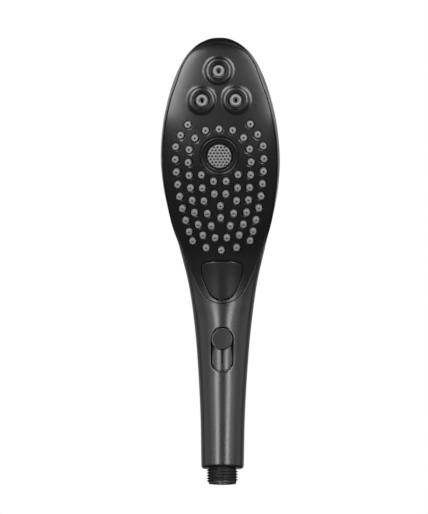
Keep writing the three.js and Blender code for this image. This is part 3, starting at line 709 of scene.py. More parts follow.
def nub_solids(nubs):
    """The nubs as solids, rooted in the mat."""
    patches = Patches()
    r, proud = in_mm(nubs.radius), in_mm(nubs.proud)
    profile = rounded([
        (0, -3.4), (r + 0.25, -3.4), (r + 0.2, -0.9), (r, 0.1, 0.3), (r - 0.04, proud, 0.42),
        (0, proud + 0.05),
    ])
    turned_at_nubs(patches, profile)
    return patches.object("nub_solids")


def nub_bores(nubs):
    """The water's way through each nub, flared at its mouth."""
    patches = Patches()
    r, proud = in_mm(nubs.bore_radius), in_mm(nubs.proud)
    profile = [
        (0, -7), (r + 0.25, -7), (r, -1.5), (r, proud - 0.45), (r + 0.12, proud - 0.2),
        (r + 0.42, proud + 0.3), (0, proud + 0.3),
    ]
    turned_at_nubs(patches, profile, 28)
    return patches.object("nub_bores")


def screen_mesh(jets):
    """Light disc with a scalloped edge."""
    radius = in_mm(jets.screen_radius)
    frame = Frame(0.0, CENTRE_JET)
    angle = np.linspace(0, 2 * math.pi, 240, endpoint=False)
    scallop = 0.22 * np.abs(np.cos(12 * angle)) - 0.22
    loops = []
    for inset, z in (
        (0.3, -1.1), (0.05, -0.9), (0.0, -0.35), (0.08, -0.1), (0.28, 0.05), (0.6, 0.1), (3.0, 0.16), (6.0, 0.2),
    ):
        r = radius - inset + scallop * max(0.0, 1 - inset / 1.2)
        loops.append(frame.to_world(circle(angle, r, z)))
    patches = Patches()
    patches.grid(loops, loop=True)
    patches.fan(loops[0][::-1], frame.to_world(np.array([0, 0, -1.1])))
    patches.fan(loops[-1], frame.to_world(np.array([0, 0, 0.22])))
    return patches.mesh("centre_screen")


def screen_holes(jets):
    """Flared holes of the screen, on a triangular grid."""
    patches = Patches()
    base = Frame(0.0, CENTRE_JET)
    pitch, r = in_mm(jets.screen_pitch), in_mm(jets.screen_hole)
    profile = [(0, -2), (r, -2), (r, -0.35), (r + 0.08, -0.12), (r + 0.5, 0.5), (0, 0.5)]
    for row in range(-3, 4):
        for column in range(-3, 4):
            if abs(row + column) > 3:
                continue
            x, y = pitch * (column + row / 2), pitch * row * math.sqrt(0.75)
            frame = Frame(0.0, CENTRE_JET)
            frame.origin = base.to_world(np.array([x, y, 0.0]))
            turned_patches(patches, profile, frame, 20)
    return patches.object("screen_holes")


def turned_mesh(name, profile, frame, segments=96):
    patches = Patches()
    turned_patches(patches, profile, frame, segments)
    return patches.mesh(name)


def thread_mesh(inlet):
    """Threaded fitting: one turned surface whose radius winds up in the thread."""
    core, crest, pitch = in_mm(inlet.thread_core), in_mm(inlet.thread_radius), in_mm(inlet.thread_pitch)
    bore = in_mm(inlet.bore_radius)
    angle = np.linspace(0, 2 * math.pi, 120, endpoint=False)
    inside = rounded([
        (5.2, 33), (5.2, 22), (bore, 22), (bore, 0, 0.5), (core - 0.1, 0, 0.5), (core, 0.7),
    ], steps=5)
    behind = rounded([
        (core, 10.2), (8.3, 10.4, 0.2), (8.3, 24, 0.3), (6.9, 24), (6.9, 27.4), (6.2, 27.4), (6.2, 29.2),
        (6.9, 29.2), (6.9, 33, 0.3), (5.2, 33),
    ])
    rows = [circle(angle, r, z) for r, z in inside]
    for z in np.arange(0.8, 10.15, 0.09):
        phase = (z / pitch - angle / (2 * math.pi)) % 1
        tooth = np.clip(1.25 * (1 - np.abs(2 * phase - 1)) - 0.12, 0, 1)
        tooth = tooth * tooth * (3 - 2 * tooth) * 0.35 + tooth * 0.65
        fade = smoothstep(z, 0.8, 1.8) * (1 - smoothstep(z, 9.1, 10.0))
        rows.append(circle(angle, core + (crest - core) * tooth * fade, z))
    rows += [circle(angle, r, z) for r, z in behind]
    patches = Patches()
    patches.grid(rows, loop=True)
    return patches.mesh("inlet_fitting")


def filter_mesh():
    """Rim ring and woven wires behind the inlet."""
    patches = Patches()
    frame = Frame(0.0, 0.0, 0.0)
    frame.origin = np.zeros(3)
    frame.side, frame.along, frame.out = np.eye(3)
    rim = rounded([(5.9, 0.6, 0.15), (6.7, 0.6, 0.2), (6.7, 1.4, 0.2), (5.9, 1.4, 0.15)], closed=True)
    turned_patches(patches, rim, frame, 64)
    spacing, wire = 0.95, 0.16
    ring_angle = np.linspace(0, 2 * math.pi, 6, endpoint=False)
    for turn in (0, 1):
        for k in range(-6, 7):
            offset = k * spacing
            reach = math.sqrt(max(6.3**2 - offset**2, 0))
            t = np.linspace(-reach, reach, 60)
            wave = 0.17 * np.cos(math.pi * t / spacing + math.pi * (k + turn))
            loops = []
            for at, lift in zip(t, wave):
                along, beside = np.full(6, at), offset + wire * np.cos(ring_angle)
                flat = [along, beside] if turn == 0 else [beside, along]
                loops.append(np.stack([*flat, 1.0 + lift + wire * np.sin(ring_angle)], axis=-1))
            tube_patches(patches, loops)
    return patches.mesh("inlet_filter", weld=1e-7)


# ---- button and slider --------------------------------------------------------------------------
def button_mesh(controls):
    """Shield-shaped button whose top follows the face, with a rounded edge and a straight skirt."""
    radius = in_mm(controls.button_edge)
    loops = []
    for part in (0.02, 0.12, 0.26, 0.42, 0.58, 0.72, 0.84, 0.92):
        loop = button_outline(-radius) * part
        loops.append((loop, np.zeros(len(loop))))
    for a in np.radians([90, 72, 54, 36, 18, 0]):
        loop = button_outline(-radius * (1 - math.cos(a)))
        loops.append((loop, np.full(len(loop), -radius * (1 - math.sin(a)))))
    crown, reach = in_mm(controls.button_crown), 14
    outline = button_outline(0)
    rings = []
    for loop, depth in loops:
        x, s = on_neck(loop)
        swell = crown * (1 - (loop[:, 0] / reach) ** 2) * (1 - 0.6 * (loop[:, 1] / reach) ** 2)
        rings.append(place(x, s, height(x, s) + depth + swell))
    frame = Frame(0.0, BUTTON_AT)
    rings += [frame.to_world(at_level(outline, level)) for level in (-2.0, -in_mm(controls.button_depth))]
    patches = Patches()
    tube_patches(patches, rings)
    return patches.mesh("select_button")


def track_mesh(controls):
    """Tray in the slot: convex floor, slit for the knob's blade, edge turned up to the slot's wall."""
    width, length = in_mm(controls.slot_width) - 2.0, in_mm(controls.slot_length) - 1.2
    floor, turn = in_mm(controls.slot_floor), in_mm(controls.track_edge)
    slit_width, slit_length, bulge, border, underside = 0.9, 17.8, 2.1, 0.3, 7.5

    def level(loop, lift):
        curve = floor + 0.1 - bulge * (2 * loop[:, 0] / width) ** 2
        return place(loop[:, 0], SLOT_AT + loop[:, 1], curve + lift)

    def flat(loop, n):
        return place(loop[:, 0], SLOT_AT + loop[:, 1], np.full(len(loop), n))

    def inset_loop(inset):
        return stadium_outline(width - 2 * inset, length - 2 * inset)

    outline = inset_loop(0)
    slit = stadium_outline(slit_width, slit_length)
    last = inset_loop(0.35 + turn)
    rings = [flat(outline, underside), level(outline, turn), level(inset_loop(border), turn)]
    for a in np.radians(np.linspace(10, 90, 8)):
        rings.append(level(inset_loop(border + turn * math.sin(a)), turn * (1 - math.sin(a))))
    for part in (0.15, 0.35, 0.55, 0.75, 0.9, 0.97):
        rings.append(level(last + (slit - last) * part, 0.0))
    rings += [level(slit, -0.12), flat(slit, underside)]
    patches = Patches()
    patches.grid(rings + [rings[0]], loop=True)
    return patches.mesh("slider_track")


def knob_mesh(controls):
    """Round cap with a shallow dish, on a flat blade that reaches down to the spool."""
    r, top, floor = in_mm(controls.knob_radius), in_mm(controls.knob_top), in_mm(controls.slot_floor) + 0.3
    profile = rounded([
        (0, floor), (r - 0.2, floor, 0.15), (r, floor + 0.4, 0.2), (r, top - 0.1, 0.22), (r - 0.5, top, 0.3),
        (3.6, top - 0.16, 1.2), (0, top - 0.22),
    ], steps=6)
    frame = Frame(0.0, KNOB_AT, 0.0)
    patches = Patches()
    turned_patches(patches, profile, frame, 112)
    blade = stadium_outline(0.55, 2.8, end=8, side=4)
    ends = ((0.8, 6.0), (1.0, 6.2), (1.0, floor + 0.6))
    loops = [frame.to_world(at_level(blade * share, z)) for share, z in ends]
    tube_patches(patches, loops)
    return patches.mesh("slider_knob")


# ---- materials ----------------------------------------------------------------------------------
def new_group(name, inputs, outputs):
    group = bpy.data.node_groups.new(name, "ShaderNodeTree")
    for label, kind, default in inputs:
        socket = group.interface.new_socket(label, in_out="INPUT", socket_type=kind)
        if default is not None:
            socket.default_value = default
    for label, kind in outputs:
        group.interface.new_socket(label, in_out="OUTPUT", socket_type=kind)
    start = group.nodes.new("NodeGroupInput")
    end = group.nodes.new("NodeGroupOutput")
    return group, start, end


def set_inputs(node, values):
    for label, value in values.items():
        node.inputs[label].default_value = value


def math_node(tree, operation, first, second=None, third=None):
    node = tree.nodes.new("ShaderNodeMath")
    node.operation = operation
    for socket, value in zip(node.inputs, (first, second, third)):
        if value is None:
            continue
        if isinstance(value, (int, float)):
            socket.default_value = value
        else:
            tree.links.new(value, socket)
    return node.outputs[0]


def noise(tree, vector, scale, detail=2.0, roughness=0.5):
    node = tree.nodes.new("ShaderNodeTexNoise")
    set_inputs(node, {"Detail": detail, "Roughness": roughness})
    tree.links.new(vector, node.inputs["Vector"])
    if isinstance(scale, (int, float)):
        node.inputs["Scale"].default_value = scale
    else:
        tree.links.new(scale, node.inputs["Scale"])
    return node.outputs["Fac"]


def moulded_group():
    """Moulded plastic: spark-eroded grain as a height, cloudy gloss as a roughness, and a slight mottle."""
    name = "moulded_surface"
    if name in bpy.data.node_groups:
        return bpy.data.node_groups[name]
    tree, start, end = new_group(name, [
        ("Grain Scale", "NodeSocketFloat", 2600.0), ("Roughness", "NodeSocketFloat", 0.4),
        ("Spread", "NodeSocketFloat", 0.06),
    ], [("Height", "NodeSocketFloat"), ("Roughness", "NodeSocketFloat"), ("Mottle", "NodeSocketFloat")])
    where = tree.nodes.new("ShaderNodeTexCoord").outputs["Object"]
    fine = noise(tree, where, start.outputs["Grain Scale"], 1.0)
    coarse_scale = math_node(tree, "MULTIPLY", start.outputs["Grain Scale"], 0.31)
    coarse = noise(tree, where, coarse_scale, 2.0)
    grain = math_node(tree, "MULTIPLY_ADD", coarse, 0.45, fine)
    tree.links.new(grain, end.inputs["Height"])
    cloud = noise(tree, where, 38.0, 4.0, 0.6)
    centred = math_node(tree, "SUBTRACT", cloud, 0.5)
    swing = math_node(tree, "MULTIPLY", centred, start.outputs["Spread"])
    speckle = math_node(tree, "MULTIPLY", math_node(tree, "SUBTRACT", fine, 0.5), start.outputs["Spread"])
    total = math_node(tree, "ADD", start.outputs["Roughness"], math_node(tree, "ADD", swing, speckle))
    tree.links.new(total, end.inputs["Roughness"])
    mixed = math_node(tree, "MULTIPLY_ADD", fine, 0.5, math_node(tree, "MULTIPLY", cloud, 0.5))
    tree.links.new(mixed, end.inputs["Mottle"])
    return tree


def worn_group():
    """Mask of edges and handled spots: where the surface bends sharply, broken up by noise."""
    name = "edge_polish"
    if name in bpy.data.node_groups:
        return bpy.data.node_groups[name]
    tree, start, end = new_group(name, [("Amount", "NodeSocketFloat", 0.5)], [("Mask", "NodeSocketFloat")])
    geometry = tree.nodes.new("ShaderNodeNewGeometry")
    where = tree.nodes.new("ShaderNodeTexCoord").outputs["Object"]
    sharp = tree.nodes.new("ShaderNodeMapRange")
    set_inputs(sharp, {"From Min": 0.52, "From Max": 0.60})
    tree.links.new(geometry.outputs["Pointiness"], sharp.inputs["Value"])
    patchy = noise(tree, where, 240.0, 3.0)
    mask = math_node(tree, "MULTIPLY", sharp.outputs["Result"], patchy)
    tree.links.new(math_node(tree, "MULTIPLY", mask, start.outputs["Amount"]), end.inputs["Mask"])
    return tree


def two_colours(tree, mask, dark, light):
    ramp = tree.nodes.new("ShaderNodeValToRGB")
    for stop, position, tone in zip(ramp.color_ramp.elements, (0.3, 0.7), (dark, light)):
        stop.position, stop.color = position, (*tone, 1)
    tree.links.new(mask, ramp.inputs["Fac"])
    return ramp.outputs["Color"]


def by_camera_ray(tree, seen, lit, output):
    """Shows the shader seen to the camera, and lights the scene with the shader lit."""
    path = tree.nodes.new("ShaderNodeLightPath")
    mix = tree.nodes.new("ShaderNodeMixShader")
    tree.links.new(path.outputs["Is Camera Ray"], mix.inputs["Fac"])
    tree.links.new(lit, mix.inputs[1])
    tree.links.new(seen, mix.inputs[2])
    tree.links.new(mix.outputs["Shader"], tree.nodes[output].inputs["Surface"])


def scaled(colour, factor):
    return tuple(min(1.0, c * factor) for c in colour)


def surface_material(name, colour, roughness, grain_scale, grain_depth, spread=0.06, contrast=0.12, worn=0.0,
                     ior=1.5, subsurface=0.0, metallic=0.0, brushed=False):
    """Procedural plastic, rubber, silicone or metal from the shared effects."""
    material = bpy.data.materials.new(name)
    material.use_nodes = True
    material.diffuse_color = (*colour, 1)
    tree = material.node_tree
    shader = tree.nodes["Principled BSDF"]
    set_inputs(shader, {
        "IOR": ior, "Metallic": metallic, "Subsurface Weight": subsurface,
        "Subsurface Radius": (0.6, 0.6, 0.6), "Subsurface Scale": 0.0008,
    })
    effect = tree.nodes.new("ShaderNodeGroup")
    effect.node_tree = moulded_group()
    set_inputs(effect, {"Grain Scale": grain_scale, "Roughness": roughness, "Spread": spread})
    colour_out = two_colours(
        tree, effect.outputs["Mottle"], scaled(colour, 1 - contrast), scaled(colour, 1 + contrast))
    roughness_out = effect.outputs["Roughness"]
    height_out = effect.outputs["Height"]
    if worn > 0:
        edges = tree.nodes.new("ShaderNodeGroup")
        edges.node_tree = worn_group()
        edges.inputs["Amount"].default_value = worn
        mix = tree.nodes.new("ShaderNodeMix")
        mix.data_type = "RGBA"
        mix.inputs["B"].default_value = (*scaled(colour, 1.8), 1)
        tree.links.new(edges.outputs["Mask"], mix.inputs["Factor"])
        tree.links.new(colour_out, mix.inputs["A"])
        colour_out = mix.outputs["Result"]
        roughness_out = math_node(tree, "MULTIPLY_ADD", edges.outputs["Mask"], -0.12, roughness_out)
    if brushed:
        where = tree.nodes.new("ShaderNodeTexCoord").outputs["Object"]
        stretch = tree.nodes.new("ShaderNodeMapping")
        stretch.inputs["Scale"].default_value = (1, 1, 14)
        tree.links.new(where, stretch.inputs["Vector"])
        height_out = noise(tree, stretch.outputs["Vector"], 900.0, 3.0)
    tree.links.new(colour_out, shader.inputs["Base Color"])
    tree.links.new(roughness_out, shader.inputs["Roughness"])
    bump = tree.nodes.new("ShaderNodeBump")
    set_inputs(bump, {"Strength": 1.0, "Distance": grain_depth})
    tree.links.new(height_out, bump.inputs["Height"])
    tree.links.new(bump.outputs["Normal"], shader.inputs["Normal"])
    return material


def finishes(colours):
    """Every finish by the record's slot name, made once."""
    prefix = "finish_"
    made = {m.name[len(prefix):]: m for m in bpy.data.materials if m.name.startswith(prefix)}
    if made:
        return made
    black = tuple(colours.body)
    recipes = {
        "satin_black": dict(colour=black, roughness=0.29, grain_scale=2300, grain_depth=4e-6, spread=0.09,
                            contrast=0.25, worn=0.25),
        "gloss_black": dict(colour=tuple(colours.gloss), roughness=0.30, grain_scale=3200, grain_depth=1.5e-6,
                            spread=0.08, contrast=0.15, worn=0.3),
        "grey_silicone": dict(colour=tuple(colours.silicone), roughness=0.52, grain_scale=2400,
                              grain_depth=0.000006, spread=0.1, contrast=0.07, subsurface=0.15, ior=1.42),
        "thread_black": dict(colour=black, roughness=0.45, grain_scale=3000, grain_depth=0.0000025,
                             spread=0.1, contrast=0.3, worn=0.5),
        "inner_plastic": dict(colour=(0.024, 0.026, 0.029), roughness=0.5, grain_scale=1800,
                              grain_depth=0.000005, contrast=0.2),
        "white_plastic": dict(colour=(0.68, 0.68, 0.65), roughness=0.42, grain_scale=1600, grain_depth=0.000003,
                              contrast=0.04, subsurface=0.1),
        "dark_rubber": dict(colour=(0.016, 0.016, 0.016), roughness=0.72, grain_scale=2000,
                            grain_depth=0.000008, contrast=0.3),
        "steel": dict(colour=(0.56, 0.57, 0.58), roughness=0.28, grain_scale=1500, grain_depth=0.000004,
                      contrast=0.08, metallic=1.0, brushed=True),
    }
    return {name: surface_material(prefix + name, **recipe) for name, recipe in recipes.items()}


# ---- property groups ----------------------------------------------------------------------------
def length(name, description, millimetres):
    return amount(name, description, millimetres / 1000, unit="LENGTH", subtype="DISTANCE", precision=5)


def colour(name, description, value):
    return bpy.props.FloatVectorProperty(
        name=name, description=description, default=value, min=0.0, max=1.0, size=3, subtype="COLOR")


def amount(name, description, value, **options):
    return bpy.props.FloatProperty(name=name, description=description, default=value, min=0.0, **options)


def pointer(group, name, description):
    return bpy.props.PointerProperty(type=group, name=name, description=description)


class ShellSizes(bpy.types.PropertyGroup):
    gap: length("Gap", "Clearance between neighbouring pieces", 0.3)
    wall: length("Shell wall", "Thickness of the back shell", 2.6)
    plate_wall: length("Plate wall", "Thickness of the face plate", 2.4)
    ledge_width: length("Ledge", "How far the ledge reaches under the face plate", 2.2)
    handle_bottom: length("Handle foot", "Height of the handle's lower shoulder", 10.5)
    shoulder_radius: length("Foot radius", "Rounding of the handle's lower shoulder", 1.8)
    inlet_hole: length("Inlet hole", "Radius of the hole in the handle's foot", 8.6)
    seam_edge: length("Seam edge", "Rounding of the edges along the seam", 0.32)


class NubSizes(bpy.types.PropertyGroup):
    radius: length("Radius", "Radius of a spray nub", 2.15)
    proud: length("Proud", "How far a nub stands out of the face", 1.8)
    bore_radius: length("Bore", "Radius of a nub's bore", 0.55)
    hole_radius: length("Hole", "Radius of the plate's hole round a nub", 2.85)
    hole_edge: length("Hole edge", "Rounding of the plate's hole", 0.25)


class JetSizes(bpy.types.PropertyGroup):
    collar_radius: length("Collar foot", "Radius where a whirl jet's collar dome would stand upright", 9.0)
    collar_top_radius: length("Collar top", "Radius where the collar starts to fall", 6.3)
    collar_height: length("Collar height", "How far the collar stands out of the face", 1.5)
    cup_radius: length("Cup", "Radius of a whirl jet's cup", 6.05)
    tip_radius: length("Tip", "Radius of a whirl jet's tip", 3.7)
    tip_bore: length("Tip bore", "Radius of the outlet in the tip", 1.65)
    centre_radius: length("Centre ring", "Outer radius of the centre jet's ring", 12.8)
    screen_radius: length("Screen", "Radius of the centre jet's screen", 7.9)
    screen_hole: length("Screen hole", "Radius of a hole in the screen", 0.6)
    screen_pitch: length("Screen pitch", "Distance between holes in the screen", 2.35)


class ControlSizes(bpy.types.PropertyGroup):
    button_gap: length("Button gap", "Clearance round the select button", 0.5)
    button_edge: length("Button edge", "Rounding of the button's and its opening's edges", 0.35)
    button_depth: length("Button depth", "Depth of the button's skirt", 4.2)
    button_crown: length("Button crown", "Extra crown of the button over the face", 1.6)
    slot_width: length("Slot width", "Width of the slider's slot", 15.6)
    slot_length: length("Slot length", "Length of the slider's slot", 30.6)
    slot_edge: length("Slot edge", "Rounding of the slot's edge", 0.45)
    slot_floor: length("Slot floor", "Distance of the track in front of the handle's axis", 10.7)
    track_edge: length("Track edge", "Radius of the track's upturned edge", 0.5)
    knob_radius: length("Knob", "Radius of the slider's knob", 7.0)
    knob_top: length("Knob top", "Distance of the knob's top in front of the handle's axis", 14.9)


class InletSizes(bpy.types.PropertyGroup):
    thread_radius: length("Thread crest", "Major radius of the G1/2 thread", 10.4775)
    thread_core: length("Thread core", "Minor radius of the thread", 9.3155)
    thread_pitch: length("Pitch", "Pitch of the thread", 1.8143)
    bore_radius: length("Bore", "Radius of the inlet's bore", 7.0)


class FinishColours(bpy.types.PropertyGroup):
    body: colour("Body", "Satin body plastic", (0.0042, 0.0042, 0.0043))
    gloss: colour("Trim", "Smoother black trim", (0.0038, 0.0038, 0.0039))
    silicone: colour("Silicone", "Spray nubs, tips and screen", (0.15, 0.151, 0.153))


class StageSettings(bpy.types.PropertyGroup):
    strip_power: amount("Strips", "Power on which every light's power is based", 26.0, unit="POWER")
    surround: amount("Surround", "Brightness of the surroundings as light", 0.02)
    floor_level: length("Floor", "How far the floor lies below the inlet", 300.0)


class ShowerHead(bpy.types.PropertyGroup):
    shell: pointer(ShellSizes, "Shell", "Sizes of the shell and plate")
    nubs: pointer(NubSizes, "Nubs", "Sizes of the spray nubs")
    jets: pointer(JetSizes, "Jets", "Sizes of the jets")
    controls: pointer(ControlSizes, "Controls", "Sizes of the button and slider")
    inlet: pointer(InletSizes, "Inlet", "Sizes of the inlet")
    colours: pointer(FinishColours, "Colours", "Colours of the finishes")
    stage: pointer(StageSettings, "Stage", "Lights and floor")


def add_piece(name, mesh, settings, slot, body, *nodes):
    return settle(new_object(name, mesh), settings, slot, body, *nodes)


def settle(obj, settings, slot, body, *nodes):
    """Gives a finished piece its material, body and the CAD nodes it stands for."""
    obj.data.materials.clear()
    obj.data.materials.append(finishes(settings.colours)[slot])
    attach(obj, body)
    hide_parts(*nodes)
    return obj


# ---- operators ----------------------------------------------------------------------------------
class Builder:
    """What every operator shares: it builds from the scene's settings, and finishes."""

    def execute(self, context):
        self.build(context.scene.shower_head)
        return {"FINISHED"}


def directions(turn, rise):
    """Unit vectors back, sideways and up of a thing seen from the given azimuth and elevation, in degrees."""
    a, e = math.radians(turn), math.radians(rise)
    back = np.array([math.sin(a) * math.cos(e), -math.cos(a) * math.cos(e), math.sin(e)])
    side = np.array([math.cos(a), math.sin(a), 0])
    return back, side, np.cross(back, side)


def stand(name, data, across, up, back, at):
    """New object with those axes at that place."""
    obj = bpy.data.objects.new(name, data)
    bpy.context.scene.collection.objects.link(obj)
    matrix = Matrix.Identity(4)
    for i, axis in enumerate((across, up, back, at)):
        for k in range(3):
            matrix[k][i] = axis[k]
    obj.matrix_world = matrix
    return obj


class SHOWER_OT_stage(Builder, bpy.types.Operator):
    """Adds the camera, the lights, the surroundings and the floor"""
    bl_idname = "shower.stage"
    bl_label = "Stage"

    def build(self, settings):
        scene = bpy.context.scene
        scene.view_settings.view_transform = "Standard"
        scene.view_settings.look = "None"
        self.camera(scene)
        self.lights(settings.stage)
        self.surroundings(scene, settings.stage)
        self.floor(scene, settings.stage)

    def camera(self, scene):
        back, side, up = directions(2.57, -12.85)
        roll, distance = math.radians(0.237), 1.08
        across = side * math.cos(roll) + up * math.sin(roll)
        upright = up * math.cos(roll) - side * math.sin(roll)
        at = np.array([-0.004773, -0.03410, 0.149494]) + back * distance
        data = bpy.data.cameras.new("camera")
        data.lens, data.sensor_width, data.sensor_fit = 111.9, 36.0, "AUTO"
        data.clip_start, data.clip_end = 0.05, 20
        scene.camera = stand("camera", data, across, upright, back, at)

    def area(self, name, turn, rise, distance, width, tall, power):
        """Rectangular soft light in that direction from the object, facing it."""
        back, side, up = directions(turn, rise)
        data = bpy.data.lights.new(name, "AREA")
        data.shape, data.size, data.size_y, data.energy = "RECTANGLE", width, tall, power
        stand(name, data, side, up, back, np.array([0, -0.035, 0.15]) + back * distance)

    def lights(self, settings):
        for name, turn, rise, width, tall, share in (
            ("strip_left", -26, 9, 0.42, 1.8, 1.1), ("strip_right", 29, 9, 0.42, 1.8, 1.1),
            ("wing_left", -50, 8, 0.7, 1.6, 0.24), ("wing_right", 53, 8, 0.7, 1.6, 0.24),
            ("side_left", -88, 10, 1.3, 1.8, 0.27), ("side_right", 92, 10, 1.3, 1.8, 0.27),
            ("back_left", -148, 12, 1.3, 1.8, 0.12), ("back_right", 152, 12, 1.3, 1.8, 0.12),
            ("rear", 180, 12, 1.2, 1.6, 0.1), ("front", 1, 6, 0.5, 0.45, 0.014),
        ):
            self.area(name, turn, rise, 1.5, width, tall, settings.strip_power * share)

    def surroundings(self, scene, settings):
        world = bpy.data.worlds.new("surroundings")
        world.use_nodes = True
        scene.world = world
        tree = world.node_tree
        plain = tree.nodes["Background"]
        set_inputs(plain, {"Color": (1, 1, 1, 1), "Strength": 1.0})
        dim = tree.nodes.new("ShaderNodeBackground")
        set_inputs(dim, {"Color": (0.98, 0.99, 1, 1), "Strength": settings.surround})
        by_camera_ray(tree, plain.outputs["Background"], dim.outputs["Background"], "World Output")

    def floor(self, scene, settings):
        mesh = bpy.data.meshes.new("floor")
        work = bmesh.new()
        bmesh.ops.create_grid(work, x_segments=8, y_segments=8, size=6.0)
        work.to_mesh(mesh)
        work.free()
        floor = bpy.data.objects.new("floor", mesh)
        floor.location.z = -settings.floor_level
        scene.collection.objects.link(floor)
        material = bpy.data.materials.new("floor_paper")
        material.use_nodes = True
        tree = material.node_tree
        shader = tree.nodes["Principled BSDF"]
        shader.inputs["Roughness"].default_value = 0.9
        where = tree.nodes.new("ShaderNodeTexCoord").outputs["Object"]
        tone = two_colours(tree, noise(tree, where, 3.0, 3.0), (0.78, 0.78, 0.78), (0.83, 0.83, 0.83))
        tree.links.new(tone, shader.inputs["Base Color"])
        dark = tree.nodes.new("ShaderNodeBsdfDiffuse")
        dark.inputs["Color"].default_value = (0.09, 0.09, 0.09, 1)
        even = tree.nodes.new("ShaderNodeEmission")
        even.inputs["Color"].default_value = (0.8, 0.8, 0.8, 1)
        pale = tree.nodes.new("ShaderNodeMixShader")
        pale.inputs["Fac"].default_value = 0.8
        tree.links.new(shader.outputs["BSDF"], pale.inputs[1])
        tree.links.new(even.outputs["Emission"], pale.inputs[2])
        by_camera_ray(tree, pale.outputs["Shader"], dark.outputs["BSDF"], "Material Output")
        mesh.materials.append(material)


class SHOWER_OT_shell(Builder, bpy.types.Operator):
    """Builds the back shell with its handle, and cuts the slider's slot"""
    bl_idname = "shower.shell"
    bl_label = "Back shell"

    def build(self, settings):
        controls = settings.controls
        shell = new_object("shell_back", back_shell_mesh(settings.shell))

        def outline(offset):
            return grown(stadium_outline(in_mm(controls.slot_width), in_mm(controls.slot_length)), offset)

        edge = lip(in_mm(controls.slot_edge))[::-1]
        cutter = conformal_cutter("slot_cutter", outline, SLOT_AT, edge, top=22, bottom=4)
        boolean(shell, cutter, "DIFFERENCE")
        settle(shell, settings, "satin_black", "shell", "back_shell")


class SHOWER_OT_plate(Builder, bpy.types.Operator):
    """Builds the face plate with its three collars and all its openings"""
    bl_idname = "shower.plate"
    bl_label = "Face plate"

    def build(self, settings):
        plate = new_object("plate_face", face_plate_mesh(settings.shell))
        boolean(plate, collars(settings.jets), "UNION")
        cutters = face_cutters(settings.shell, settings.jets, settings.nubs, settings.controls)
        boolean(plate, cutters, "DIFFERENCE")
        settle(plate, settings, "satin_black", "shell", "face_plate")


class SHOWER_OT_nozzles(Builder, bpy.types.Operator):
    """Builds the silicone mat with its 64 spray nubs"""
    bl_idname = "shower.nozzles"
    bl_label = "Spray nubs"

    def build(self, settings):
        mat = new_object("mat_nozzles", nozzle_mat_mesh())
        hole = turned_mesh("centre_hole", [(0, -8), (13.1, -8), (13.1, 6), (0, 6)], Frame(0.0, CENTRE_JET))
        boolean(mat, new_object("centre_hole", hole), "DIFFERENCE")
        boolean(mat, nub_solids(settings.nubs), "UNION")
        boolean(mat, nub_bores(settings.nubs), "DIFFERENCE")
        settle(mat, settings, "grey_silicone", "shell", "nozzle_mat")


class SHOWER_OT_centre(Builder, bpy.types.Operator):
    """Builds the centre jet's ring and its perforated screen"""
    bl_idname = "shower.centre"
    bl_label = "Centre jet"

    def build(self, settings):
        r = in_mm(settings.jets.centre_radius)
        profile = rounded([
            (7.0, -2.6), (9.4, -2.6), (9.4, -5.0), (r, -5.0), (r, 0.55, 0.35), (11.95, 0.7, 0.3),
            (11.6, -0.15, 0.3), (9.3, -0.1, 0.35), (8.75, -1.5, 0.15), (7.0, -1.5),
        ], closed=True, steps=5)
        ring = turned_mesh("centre_ring", profile, Frame(0.0, CENTRE_JET), 128)
        add_piece("ring_centre", ring, settings, "gloss_black", "shell", "centre_ring")
        screen = new_object("screen_centre", screen_mesh(settings.jets))
        boolean(screen, screen_holes(settings.jets), "DIFFERENCE")
        settle(screen, settings, "grey_silicone", "shell", "centre_screen")


class SHOWER_OT_whirls(Builder, bpy.types.Operator):
    """Builds the cup and the tip of each whirl jet"""
    bl_idname = "shower.whirls"
    bl_label = "Whirl jets"

    def build(self, settings):
        jets = settings.jets
        cup, tip, bore = in_mm(jets.cup_radius), in_mm(jets.tip_radius), in_mm(jets.tip_bore)
        for number, (x, s) in enumerate(WHIRLS, start=1):
            frame = Frame(x, s)
            profile = rounded([
                (1.6, -8.3), (cup, -8.3, 0.3), (cup, 1.35, 0.3), (5.45, 1.35, 0.25), (5.3, -1.1, 0.3),
                (4.5, -1.3, 0.2), (4.5, -1.6, 0.1), (4.9, -1.6), (4.9, -7.2), (1.6, -7.2),
            ], closed=True)
            node = f"whirl_housing_{number}"
            mesh = turned_mesh(node, profile, frame, 112)
            add_piece(f"jet_cup_{number}", mesh, settings, "gloss_black", "shell", node)
            profile = rounded([
                (bore, -3.4), (2.6, -3.6, 0.3), (4.3, -2.6, 0.3), (4.3, -1.7, 0.15), (tip, -1.6, 0.15),
                (tip, 1.55, 0.4), (3.2, 2.0, 0.25), (2.35, 2.05, 0.3), (bore + 0.15, 1.5, 0.3), (bore, 0.9),
            ], closed=True)
            node = f"whirl_nozzle_{number}"
            mesh = turned_mesh(node, profile, frame)
            add_piece(f"jet_tip_{number}", mesh, settings, "grey_silicone", f"whirl_{number}", node)


class SHOWER_OT_controls(Builder, bpy.types.Operator):
    """Builds the select button, the slider's track and its knob"""
    bl_idname = "shower.controls"
    bl_label = "Button and slider"

    def build(self, settings):
        controls = settings.controls
        add_piece("button_select", button_mesh(controls), settings, "satin_black", "button", "select_button")
        add_piece("track_slider", track_mesh(controls), settings, "gloss_black", "shell", "slider_track")
        add_piece("knob_slider", knob_mesh(controls), settings, "satin_black", "slider", "slider_knob")


class SHOWER_OT_inlet(Builder, bpy.types.Operator):
    """Builds the threaded fitting and the filter inside it"""
    bl_idname = "shower.inlet"
    bl_label = "Inlet"

    def build(self, settings):
        fitting = thread_mesh(settings.inlet)
        add_piece("fitting_inlet", fitting, settings, "thread_black", "shell", "inlet_fitting")
        add_piece("filter_inlet", filter_mesh(), settings, "steel", "shell", "inlet_filter")


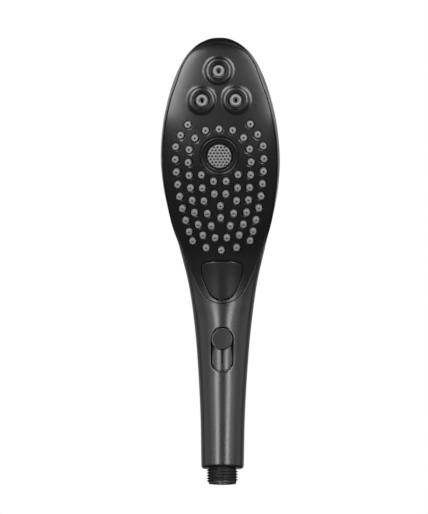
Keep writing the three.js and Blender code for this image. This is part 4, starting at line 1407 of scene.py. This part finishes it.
class SHOWER_OT_inner(Builder, bpy.types.Operator):
    """Gives the carried-over inner parts their finishes"""
    bl_idname = "shower.inner"
    bl_label = "Inner parts"

    def build(self, settings):
        made = finishes(settings.colours)
        slots = {part["node"]: part["material_slot"] for part in frame["record"]["subparts"]}
        for name, node in frame["nodes"].items():
            node.data.materials.clear()
            node.data.materials.append(made[slots[name]])


class SHOWER_PT_panel(bpy.types.Panel):
    bl_label = "Shower head"
    bl_idname = "SHOWER_PT_panel"
    bl_space_type = "VIEW_3D"
    bl_region_type = "UI"
    bl_category = "Shower head"

    def draw(self, context):
        settings = context.scene.shower_head
        for label, group in (("Shell", settings.shell), ("Nubs", settings.nubs), ("Jets", settings.jets),
                             ("Controls", settings.controls), ("Inlet", settings.inlet),
                             ("Colours", settings.colours), ("Stage", settings.stage)):
            box = self.layout.box()
            box.label(text=label)
            for name in group.bl_rna.properties.keys():
                if name not in ("rna_type", "name"):
                    box.prop(group, name)
        for operator in OPERATORS:
            self.layout.operator(operator.bl_idname)


GROUPS = (ShellSizes, NubSizes, JetSizes, ControlSizes, InletSizes, FinishColours, StageSettings, ShowerHead)
OPERATORS = (SHOWER_OT_stage, SHOWER_OT_shell, SHOWER_OT_plate, SHOWER_OT_nozzles, SHOWER_OT_centre,
             SHOWER_OT_whirls, SHOWER_OT_controls, SHOWER_OT_inlet, SHOWER_OT_inner)


def register():
    for item in (*GROUPS, *OPERATORS, SHOWER_PT_panel):
        bpy.utils.register_class(item)
    bpy.types.Scene.shower_head = bpy.props.PointerProperty(type=ShowerHead)


def unregister():
    del bpy.types.Scene.shower_head
    for item in reversed((*GROUPS, *OPERATORS, SHOWER_PT_panel)):
        bpy.utils.unregister_class(item)


def main():
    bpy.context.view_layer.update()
    register()
    for run in (bpy.ops.shower.stage, bpy.ops.shower.shell, bpy.ops.shower.plate, bpy.ops.shower.nozzles,
                bpy.ops.shower.centre, bpy.ops.shower.whirls, bpy.ops.shower.controls, bpy.ops.shower.inlet,
                bpy.ops.shower.inner):
        if run() != {"FINISHED"}:
            raise RuntimeError("an operator did not finish")


if __name__ == "__main__":
    main()
